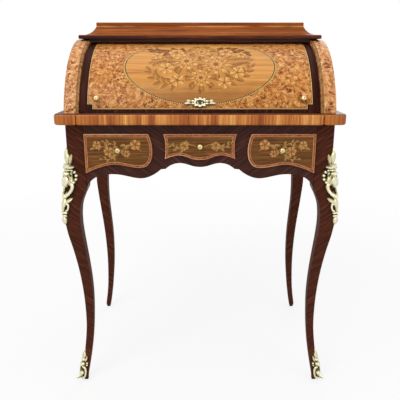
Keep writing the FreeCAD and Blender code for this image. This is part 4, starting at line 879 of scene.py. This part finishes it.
def middle_outline():
    """The middle drawer's outline as right side, top, left side and lower curve, counterclockwise."""
    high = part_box("middle_drawer_front")[1]
    size, first = np.array((high.x, MIDDLE_FRONT_HEIGHT)), (0.0, high.z - MIDDLE_FRONT_HEIGHT)
    side = (through(np.array(MIDDLE_SIDE_SHARES) * size, 40) + first)[::-1]
    under = through(np.array(MIDDLE_LOW_SHARES) * size, 50) + first
    other = (side * (-1, 1))[::-1]
    return [side, np.array([side[-1], other[0]]), other, np.concatenate([under * (-1, 1), under[-2::-1]])]


def crossing(first, second):
    """Where two lines of points cross, as the place along each in steps: both are solved as straight pieces."""
    ahead, other = np.diff(first, axis=0)[:, None], np.diff(second, axis=0)[None]
    gap = second[None, :-1] - first[:-1, None]
    turn = ahead[..., 0] * other[..., 1] - ahead[..., 1] * other[..., 0] + 1e-18
    t = (gap[..., 0] * other[..., 1] - gap[..., 1] * other[..., 0]) / turn
    u = (gap[..., 0] * ahead[..., 1] - gap[..., 1] * ahead[..., 0]) / turn
    row, column = np.argwhere((t >= 0) & (t <= 1) & (u >= 0) & (u <= 1))[0]
    return row + t[row, column], column + u[row, column]


def set_inwards(sides, distance):
    """A closed outline moved inwards. Each side goes square to itself and is cut where it crosses its neighbours,
    then gets a fixed count of even points."""
    moved = []
    for line in sides:
        ahead = np.gradient(line, axis=0)
        ahead = ahead / np.linalg.norm(ahead, axis=1, keepdims=True)
        line = np.concatenate([line[:1] - ahead[:1] * MM, line, line[-1:] + ahead[-1:] * MM])
        ahead = np.concatenate([ahead[:1], ahead, ahead[-1:]])
        moved.append(line + distance * np.stack([-ahead[:, 1], ahead[:, 0]], 1))
    cuts = [crossing(line, moved[(number + 1) % len(moved)]) for number, line in enumerate(moved)]
    points = []
    for number, line in enumerate(moved):
        way = np.concatenate([[0.0], np.cumsum(np.linalg.norm(np.diff(line, axis=0), axis=1))])
        ends = np.interp((cuts[number - 1][1], cuts[number][0]), np.arange(len(line)), way)
        spots = np.linspace(*ends, FRONT_POINTS)[:-1]
        points.append(np.stack([np.interp(spots, way, line[:, axis]) for axis in (0, 1)], 1))
    return np.concatenate(points)


def box_surfaces(low, high):
    """A plain block."""
    x, y, z = np.array([0, 1, 1, 0, 0]), np.array([0, 0, 1, 1, 0]), np.array([[0], [1]])
    grid = np.stack(np.broadcast_arrays(low.x + x * (high.x - low.x), low.y + y * (high.y - low.y),
                                        low.z + z * (high.z - low.z)), -1)
    return [(grid, grid[..., ::2], 4), *((grid[row, :-1], grid[row, :-1, :2], 4) for row in (0, 1))]


def front_surfaces(outline, walls):
    """A drawer front from its outline: rows set in by steps, each with its veneer, then the field as one face."""
    _, way = round_way(set_inwards(outline, 0.0))
    grid, place = [], []
    for step, back, _ in FRONT_ROWS:
        loop, _ = round_way(set_inwards(outline, step))
        grid.append(np.column_stack([loop[:, 0], np.full(len(loop), LIP_FRONT + back), loop[:, 1]]))
        place.append(np.column_stack([way, np.full(len(way), step)]))
    grid, place = np.stack(grid), np.stack(place)
    numbers = np.array([row[2] for row in FRONT_ROWS[:-1]])[:, None]
    field = (grid[-1, :-1], grid[-1, :-1, ::2], FRONT_ROWS[-1][2])
    back = (grid[0, :-1], grid[0, :-1, ::2], 4)
    low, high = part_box(walls)
    tongue_back = low.y
    low.y, high.y = LIP_BACK, tongue_back
    return [(grid, place, numbers), field, back, *box_surfaces(low, high)]


def on_front(x, z, height):
    """Points on a drawer front's face."""
    return np.stack([x, LIP_FRONT - height, z], -1)


# The edge's pale wood is lightened as a painted highlight on the lip's rounding; the same veneer makes the inner
# light line.
EDGE_STOPS = ((0.0, tint(168, 104, 66)), (0.5, tint(212, 148, 104)), (1.0, tint(246, 204, 164)))
FIELD_STOPS = (
    (0.0, tint(66, 38, 15)), (0.4, tint(100, 62, 27)), (0.75, tint(124, 80, 38)), (1.0, tint(158, 108, 56)),
)
light_lines_and_lip_highlight = wood("light_lines_and_painted_lip_highlight", EDGE_STOPS, broad=160.0, fine=700.0, source="UV")
BAND_STOPS = (
    (0.0, tint(92, 38, 20)), (0.35, tint(138, 72, 36)), (0.65, tint(172, 100, 52)), (1.0, tint(202, 134, 78)),
)
front_band = wood("drawer_banding", BAND_STOPS, (0.0, 0.0, math.pi / 2), 90.0, 700.0, "UV")
field_wood = wood("drawer_field", FIELD_STOPS, broad=300.0, fine=1100.0, source="UV")
FRONT_WOODS = [light_lines_and_lip_highlight, front_band, field_wood, border_wood, oak]


def side_spray(side):
    """A side drawer's spray: one long stem and two short ones with leaves, and four flowers."""
    path = at((-58, -4), (-30, 12), (6, -12), (38, 8), (60, 2))
    curl, low = at((-8, -2), (14, 14), (34, 19)), at((0, -8), (16, -22), (40, -24))
    parts = [(stem(line, *SPRAY_STEM, flat=True), 1) for line in (path, curl, low)]
    parts += [(part, 1) for line, length, count in ((path, 0.016, 11), (curl, 0.012, 5), (low, 0.012, 5))
              for part in spray(line, length, count)]
    for number, (place, radius) in enumerate((((-42, 12), 13), ((24, -4), 12), ((52, 12), 10), ((-20, -10), 9))):
        middle = at(place)[0]
        parts += [(part, 2) for part in blossom(middle, radius * MM, 5 + number % 2, number)]
        parts += [(boss(middle, radius * 0.2 * MM, radius * 0.2 * MM, INLAY * 2), 0)]
    shapes, numbers = zip(*parts)
    moved = [(side * (across + SIDE_SPRAY_MIDDLE[0]), along + SIDE_SPRAY_MIDDLE[1], up, place)
             for across, along, up, place in shapes]
    return set_in(moved, on_front, numbers)


def middle_spray():
    """The middle drawer's spray: a stem to each side of the knob, with a flower on it."""
    parts = []
    for way in (-1, 1):
        path = at((8, 663), (28, 669), (48, 659), (76, 671)) * (way, 1)
        flower = at((38 * way, 665))[0]
        parts += [(stem(path, *SPRAY_STEM, flat=True), 1)]
        parts += [(part, 1) for part in spray(path, 0.014, 9)]
        parts += [(part, 2) for part in blossom(flower, 0.011, 6, 0.3)]
        parts += [(boss(flower, 0.0024, 0.0024, INLAY * 2), 0)]
    shapes, numbers = zip(*parts)
    return set_in(shapes, on_front, numbers)


spray_leaf = marquetry("spray_leaves", tint(92, 60, 26), tint(178, 136, 76), tint(56, 34, 16))
spray_petal = marquetry("spray_petals", tint(108, 64, 30), tint(206, 148, 84), tint(70, 38, 18))
SPRAY_WOODS = [dark_wood, spray_leaf, spray_petal]
for side, name in ((-1, "left"), (1, "right")):
    outline = side_outline()
    outline = outline if side > 0 else [(line * (-1, 1))[::-1] for line in outline[::-1]]
    piece(f"drawer_front_{name}", front_surfaces(outline, f"{name}_drawer_walls"), f"{name}_drawer",
          FRONT_WOODS, [f"{name}_drawer_front"])
    piece(f"drawer_spray_{name}", side_spray(side), f"{name}_drawer", SPRAY_WOODS)
piece("drawer_front_middle", front_surfaces(middle_outline(), "middle_drawer_walls"), "middle_drawer",
      FRONT_WOODS, ["middle_drawer_front"])
piece("drawer_spray_middle", middle_spray(), "middle_drawer", SPRAY_WOODS)

# Knobs. Turned gilt brass, each with a foot, a neck and a flattened ball, screwed into the fall and the drawer
# fronts; those of the small drawers are a smaller size.


def gilt_brass(name, stops):
    """Gilt brass by the first place coordinate: painted highlights bright on the crowns, painted shade olive in the
    hollows.
    """
    material, tree, surface = new_finish(name)
    place = shade(tree, "ShaderNodeTexCoord")
    shine = shade(tree, "ShaderNodeSeparateXYZ", {"Vector": place.outputs["UV"]}).outputs[0]
    cloud = noise(tree, place.outputs["Object"], 220.0, Detail=3.0)
    # Painted light from the crowns, mottled by a noise.
    patchy_share = weigh(tree, maths(tree, "POWER", shine, 1.6), 0.72, cloud, 0.36)
    feed(tree, surface, {
        "Base Color": ramp(tree, patchy_share, stops), "Roughness": span(tree, cloud, 0.0, 1.0, 0.22, 0.42),
        "Metallic": 0.62})
    return material


# Stops from painted shade in the hollows to painted highlights on the crowns.
KNOB_STOPS = (
    (0.2, tint(60, 44, 16)), (0.45, tint(140, 112, 52)), (0.72, tint(206, 178, 104)), (0.95, tint(236, 216, 156)),
)
knob_brass = gilt_brass("knob_brass", KNOB_STOPS)
KNOB_SHARES = (
    (0.0, 0.0), (0.62, 0.0), (0.66, 0.05), (0.55, 0.10), (0.36, 0.16), (0.32, 0.28), (0.42, 0.36), (0.78, 0.46),
    (0.97, 0.60), (1.0, 0.70), (0.93, 0.82), (0.72, 0.93), (0.38, 0.985), (0.0, 1.0),
)


def knob_surfaces(foot, way, radius, length):
    """A knob turned about a line: radius and length shares swept through a full turn."""
    profile = np.array(KNOB_SHARES)
    turn = np.linspace(0, 2 * math.pi, 29)
    way = np.array(way, float)
    side = np.array((1.0, 0.0, 0.0))
    other = np.cross(way, side)
    ring = np.cos(turn)[:, None] * side + np.sin(turn)[:, None] * other
    grid = np.array(foot) + profile[:, :1, None] * radius * ring + profile[:, 1:, None] * length * way
    # The first place is painted light: brighter towards the ball, darker at the foot as painted shade, and low
    # again at the very tip.
    shine = np.where(profile[:, :1] + 1 - profile[:, 1:] < 0.1, 0.3, np.clip(0.3 + 0.9 * profile[:, 1:], 0, 1))
    place = np.stack(np.broadcast_arrays(shine, turn), -1)
    return [(grid, place, 0)]


KNOB_RADIUS, KNOB_LENGTH = 0.0065, 0.016
SMALL_KNOB_RADIUS, SMALL_KNOB_LENGTH = 0.0045, 0.012
for drawer in ("left_drawer", "middle_drawer", "right_drawer", "left_small_drawer", "right_small_drawer"):
    low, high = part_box(f"{drawer}_knob")
    foot = ((low.x + high.x) / 2, high.y, (low.z + high.z) / 2)
    radius, length = (SMALL_KNOB_RADIUS, SMALL_KNOB_LENGTH) if "small" in drawer else (KNOB_RADIUS, KNOB_LENGTH)
    piece(f"knob_{drawer}", knob_surfaces(foot, (0, -1, 0), radius, length), drawer, [knob_brass],
          [f"{drawer}_knob"])
FALL_KNOB_X, FALL_KNOB_TURN = 0.250, math.radians(24.1)
out = (0.0, -math.cos(FALL_KNOB_TURN), math.sin(FALL_KNOB_TURN))
surfaces = [surface for side in (-1, 1) for surface in knob_surfaces(
    on_cylinder(side * FALL_KNOB_X, FALL_KNOB_TURN, FALL_RADIUS), out, KNOB_RADIUS, KNOB_LENGTH)]
piece("fall_knob_pair", surfaces, "fall", [knob_brass], ["fall_knobs"])

# Keyhole plate. A cast and gilt brass plate, with a scalloped ring round the keyhole and leaves to both sides,
# pinned to the fall.
PLATE_TURN = math.radians(22.2)
PLATE_RAISE = FALL_RADIUS * (PLATE_TURN - OVAL_MIDDLE)
# Stops from painted shade in the hollows to painted highlights on the crowns.
BRASS_STOPS = (
    (0.2, tint(44, 38, 18)), (0.45, tint(138, 126, 78)), (0.72, tint(214, 206, 160)), (0.95, tint(250, 247, 224)),
)
brass = gilt_brass("gilt_brass", BRASS_STOPS)


def in_painted_shade(part, share):
    """The same part darkened as painted shade: its shine brought down."""
    across, along, up, place = part
    return across, along, up, place * (share, 1)


def keyhole_plate():
    """A scalloped oval ring on a bed darkened as painted shade, two cheeks at the keyhole, and pairs of leaves to
    both sides.
    """
    turn = np.linspace(0, 2 * math.pi, 40)
    ring = np.stack([12.6 * np.cos(turn), 7.6 * np.sin(turn)], 1) * MM
    # The flat bed under the ring is darkened as painted shade.
    parts = [in_painted_shade(boss((0.0, 0.0), 0.0220, 0.0124, 0.0012), 0.2),
             stem(ring, 0.0024, 0.0024, lift=0.0010, count=60)]
    lobes = np.arange(10) * 2 * math.pi / 10 + math.pi / 2
    parts += [boss(at((18.0 * math.cos(a), 9.6 * math.sin(a)))[0], 0.0056, 0.0035, 0.0064) for a in lobes]
    for way in (-1, 1):
        low, high, cheek = (at(*ends) * (way, 1) for ends in (
            ((20, -2.5), (39.5, -3.5)), ((20, 3), (34, 5)), ((5.4, -5), (5.4, 4))))
        parts += [leaf(*low, 0.0046, 0.0076, bow=0.0012 * way, groove=0.2, swell=1.1),
                  leaf(*high, 0.0038, 0.0080, groove=0.2, swell=1.1),
                  leaf(*cheek, 0.0028, 0.0032)]
    return set_in(parts, lambda x, arc, up: on_fall(x, arc + PLATE_RAISE, up))


piece("keyhole_plate", keyhole_plate(), "fall", [brass], ["fall_escutcheon"])

# Castings on the front legs. Cast and chased gilt brass, bent round the outer corner and pinned: a knee casting of
# leaves, berries, a shell and scrolls that ends in a husk, and a shoe on the foot.
CORNER_WRAP = 0.005


def on_corner(across, height, off):
    """Points on the right front leg's outer corner. across runs round the corner, below zero on the front face."""
    outer = leg_outer(height)
    bend = CORNER_WRAP * math.pi / 4
    turn = math.pi / 4 * (1 - np.clip(across / bend, -1, 1))
    x = outer - CORNER_WRAP + (CORNER_WRAP + off) * np.cos(turn) + np.minimum(across + bend, 0)
    y = outer - CORNER_WRAP + (CORNER_WRAP + off) * np.sin(turn) - np.maximum(across - bend, 0)
    return np.stack([CASE_HALF + x, CASE_FRONT - y, height], -1)


def both_ways(parts):
    """Parts on the front face and the same on the side face."""
    return [(way * across, along, up, place) for across, along, up, place in parts for way in (1, -1)]


def knee_casting():
    """From the top: an upright leaf, a pair of leaves, a folded collar, a boss over a shell with berries at its
    sides, open scrolls, a pair of small leaves, a curl, two rings and a hanging husk."""
    parts = [leaf(*at((0, 617), (0, 660)), 0.0068, 0.0092, lobes=2, groove=0.35)]
    parts += both_ways([leaf(*at((-5.5, 616), (-11.5, 645)), 0.0050, 0.0080, bow=-0.001, groove=0.3, swell=1.1)])
    parts += [leaf(*at((-16, 612.5), (16, 612.5)), 0.0082, 0.0142, groove=0.15, swell=1.0),
              stem(at((-13, 603.5), (-6, 606), (0, 604.5), (6, 606), (13, 603.5)), 0.0026, 0.0026, lift=0.0070),
              boss(at((0, 596.5))[0], 0.0060, 0.0070, 0.0170)]
    # The thin lines on the collar and down the shell are darkened as painted shade in creases.
    parts += both_ways([leaf(*at((-6, 603), (-11.5, 590)), 0.0034, 0.0100, groove=0.2),
                        in_painted_shade(stem(at((-12, 610), (-6, 608.5), (-1, 610.5)), 0.0011, 0.0008, lift=0.0118), 0.25),
                        in_painted_shade(stem(at((-13, 616.5), (-8, 617), (-2, 615)), 0.0011, 0.0008, lift=0.0104), 0.25),
                        in_painted_shade(stem(at((-3.4, 590), (-4.4, 578), (-3.4, 567)), 0.0010, 0.0006, lift=0.0112), 0.3)])
    for across, height in ((-15.5, 599.5), (-21, 591), (-21, 581.5), (-16, 574)):
        middle = at((across, height))[0]
        parts += both_ways([boss(middle, 0.0051, 0.0050, 0.0084)])
    parts += [leaf(*at((0, 594), (0, 560)), 0.0088, 0.0165, groove=0.15, swell=0.8)]
    parts += both_ways([leaf(*at((-4.5, 593), (-8.5, 564)), 0.0052, 0.0130, groove=0.2, swell=0.9),
                        leaf(*at((-9, 590), (-14.5, 568)), 0.0044, 0.0105, groove=0.2)])
    parts += both_ways([stem(at((-9.5, 573), (-14.5, 566), (-13.5, 556), (-8, 547), (-1.5, 540)), 0.0050, 0.0044,
                             lift=0.0026)])
    parts += [boss(at((0, 539))[0], 0.0064, 0.0062, 0.0112)]
    parts += both_ways([leaf(*at((-1, 522), (-18.5, 535)), 0.0062, 0.0088, groove=0.25, swell=1.1)])
    parts += [leaf(*at((0, 546), (0, 497)), 0.0056, 0.0090, lobes=2, groove=0.3)]
    parts += both_ways([stem(at((-1.5, 521), (-7.5, 520), (-10.5, 511), (-7, 503), (-2.5, 502)), 0.0029, 0.0027,
                             lift=0.0008)])
    parts += [stem(at((-9, 497), (0, 498), (9, 497)), 0.0030, 0.0030, lift=0.0013),
              stem(at((-8, 489.5), (0, 490.5), (8, 489.5)), 0.0028, 0.0028, lift=0.0013)]
    parts += [leaf(*at((0, 489), (0, 465)), 0.0068, 0.0078, groove=0.2)]
    return parts


def horn(points, first, last):
    """A horn in the corner's diagonal plane, through places off the corner and up: a round section that thins from
    one radius to the other and closes at both ends."""
    line = through(points, 24)
    ahead = np.gradient(line, axis=0)
    ahead = ahead / np.linalg.norm(ahead, axis=1, keepdims=True)
    t = np.linspace(0, 1, len(line))[:, None]
    radius = (first + (last - first) * t) * np.sqrt(1 - np.abs(2 * t - 1) ** 20)
    turn = np.linspace(0, 2 * math.pi, 15)
    across = radius * np.cos(turn)
    off = line[:, :1] + ahead[:, 1:] * radius * np.sin(turn)
    height = line[:, 1:] - ahead[:, :1] * radius * np.sin(turn)
    # The first place is painted light: lighter on the upper side, darker on the lower side as painted shade.
    place = np.stack(np.broadcast_arrays(0.7 - 0.3 * np.sin(turn), t), -1)
    return across, height, off, place


def on_diagonal(across, height, off):
    """Points about the right front leg's corner: off is straight out along the diagonal, across is square to
    it."""
    half = math.sqrt(0.5)
    outer = leg_outer(height) - CORNER_WRAP * (1 - half)
    x, y = outer + half * (off + across), outer + half * (off - across)
    return np.stack([CASE_HALF + x, CASE_FRONT - y, height], -1)


def shoe_casting():
    """From the top: a leaf, knots and small leaves, and an oval scroll round a bed darkened as painted shade, with
    a boss in it.
    """
    turn = np.linspace(0, 2 * math.pi, 40) + math.pi / 2
    ring = np.stack([10.5 * np.cos(turn), 28 + 16.5 * np.sin(turn)], 1) * MM
    parts = [leaf(*at((0, 60), (0, 93)), 0.0050, 0.0076, lobes=2, groove=0.3),
             boss(at((0, 64))[0], 0.0050, 0.0058, 0.0086),
             boss(at((0, 52))[0], 0.0056, 0.0066, 0.0110),
             # The bed inside the oval scroll is darkened as painted shade.
             in_painted_shade(boss(at((0, 28))[0], 0.0120, 0.0175, 0.0044), 0.25),
             stem(ring, 0.0030, 0.0030, lift=0.0036, count=60),
             boss(at((-2, 27))[0], 0.0046, 0.0068, 0.0104)]
    parts += both_ways([leaf(*at((-4, 56), (-7.5, 74)), 0.0036, 0.0060, groove=0.2),
                        boss(at((-9.5, 53.5))[0], 0.0036, 0.0036, 0.0066),
                        leaf(*at((-6, 45), (-12.5, 50)), 0.0030, 0.0064, groove=0.2)])
    return parts


def both_legs(surfaces):
    """The same casting on the right and, mirrored, on the left front leg."""
    return [(points * (side, 1, 1), place, number) for side in (1, -1) for points, place, number in surfaces]


knee = set_in(knee_casting(), on_corner)
toe = horn(at((1, 24), (7, 19.5), (13, 16.5), (20, 16)), 0.0074, 0.0020)
shoe = set_in(shoe_casting(), on_corner) + set_in([toe], on_diagonal)
piece("knee_castings", both_legs(knee), "carcase", [brass], ["knee_mounts"], sharp=60.0)
piece("shoe_castings", both_legs(shoe), "carcase", [brass], ["sabots"], sharp=60.0)

# Stage. A pale floor that fades into a white room, four soft lamps, and the camera, set to the photo's view.
# None of it belongs to the desk.
camera = bpy.data.objects.new("camera", bpy.data.cameras.new("camera"))
camera.data.lens = 45.69
camera.data.sensor_width = 36.0
camera.location = (0.0, -1.4504, 0.8835)
camera.rotation_euler = (math.radians(90 - 16.15), 0.0, 0.0)
bpy.context.scene.collection.objects.link(camera)
bpy.context.scene.camera = camera
ROOM_LIGHT = 0.5
FLOOR_HALF, FLOOR_CLEAR, FLOOR_GONE, FLOOR_WHITE = 3.0, 0.7, 2.4, 0.8
world = bpy.data.worlds.new("studio")
world.use_nodes = True
bpy.context.scene.world = world
room = world.node_tree
ray = shade(room, "ShaderNodeLightPath")
seen = maths(room, "MAXIMUM", ray.outputs["Is Glossy Ray"], ray.outputs["Is Transmission Ray"])
seen = maths(room, "MAXIMUM", ray.outputs["Is Camera Ray"], seen)
strength = span(room, seen, 0.0, 1.0, ROOM_LIGHT, 1.0)
feed(room, room.nodes["Background"], {"Color": (1.0, 1.0, 1.0, 1.0), "Strength": strength})


def floor_paint():
    """Pale matt paint that fades out into the white room far from the desk."""
    material, tree, surface = new_finish("floor_paint")
    place = shade(tree, "ShaderNodeTexCoord").outputs["Object"]
    away = shade(tree, "ShaderNodeVectorMath", {0: place}, operation="LENGTH").outputs["Value"]
    fade = span(tree, away, FLOOR_CLEAR, FLOOR_GONE, 1.0, 0.0, interpolation_type="SMOOTHSTEP")
    feed(tree, surface, {"Base Color": (0.9, 0.9, 0.9, 1.0), "Roughness": 0.9, "Specular IOR Level": 0.1})
    seen = shade(tree, "ShaderNodeLightPath").outputs["Is Camera Ray"]
    white = shade(tree, "ShaderNodeEmission", {"Color": (1.0, 1.0, 1.0, 1.0), "Strength": 1.0}).outputs[0]
    pale = shade(tree, "ShaderNodeMixShader", {
        0: maths(tree, "MULTIPLY", seen, FLOOR_WHITE), 1: surface.outputs[0], 2: white}).outputs[0]
    clear = shade(tree, "ShaderNodeBsdfTransparent").outputs[0]
    shown = shade(tree, "ShaderNodeMixShader", {0: fade, 1: clear, 2: pale})
    tree.links.new(shown.outputs[0], tree.nodes["Material Output"].inputs["Surface"])
    return material


reach = np.linspace(-FLOOR_HALF, FLOOR_HALF, 5)
spread = np.stack(np.broadcast_arrays(reach, reach[:, None], 0.0), -1)
ground = bpy.data.meshes.new("floor")
rows = np.arange(spread[..., 0].size).reshape(spread.shape[:-1])
cells = np.stack([rows[:-1, :-1], rows[:-1, 1:], rows[1:, 1:], rows[1:, :-1]], -1).reshape(-1, 4)
ground.from_pydata(spread.reshape(-1, 3).tolist(), [], cells.tolist())
ground.materials.append(floor_paint())
floor = bpy.data.objects.new("floor", ground)
bpy.context.scene.collection.objects.link(floor)


def lamp(name, place, target, size, power):
    """A soft square lamp that faces a point."""
    made = bpy.data.objects.new(name, bpy.data.lights.new(name, "AREA"))
    made.data.size = size
    made.data.energy = power
    made.location = place
    made.rotation_euler = (Vector(target) - Vector(place)).to_track_quat("-Z", "Y").to_euler()
    bpy.context.scene.collection.objects.link(made)


lamp("key_lamp", (-1.1, -1.8, 2.8), (0.0, 0.0, 0.6), 1.5, 40.0)
lamp("fill_lamp", (1.9, -2.0, 1.5), (0.0, 0.0, 0.5), 1.8, 13.0)
lamp("top_lamp", (0.0, 0.2, 2.8), (0.0, 0.0, 0.8), 1.6, 12.0)
lamp("back_lamp", (0.6, 2.6, 2.0), (0.0, 0.0, 0.5), 1.8, 20.0)
bpy.context.scene.view_settings.view_transform = "Standard"
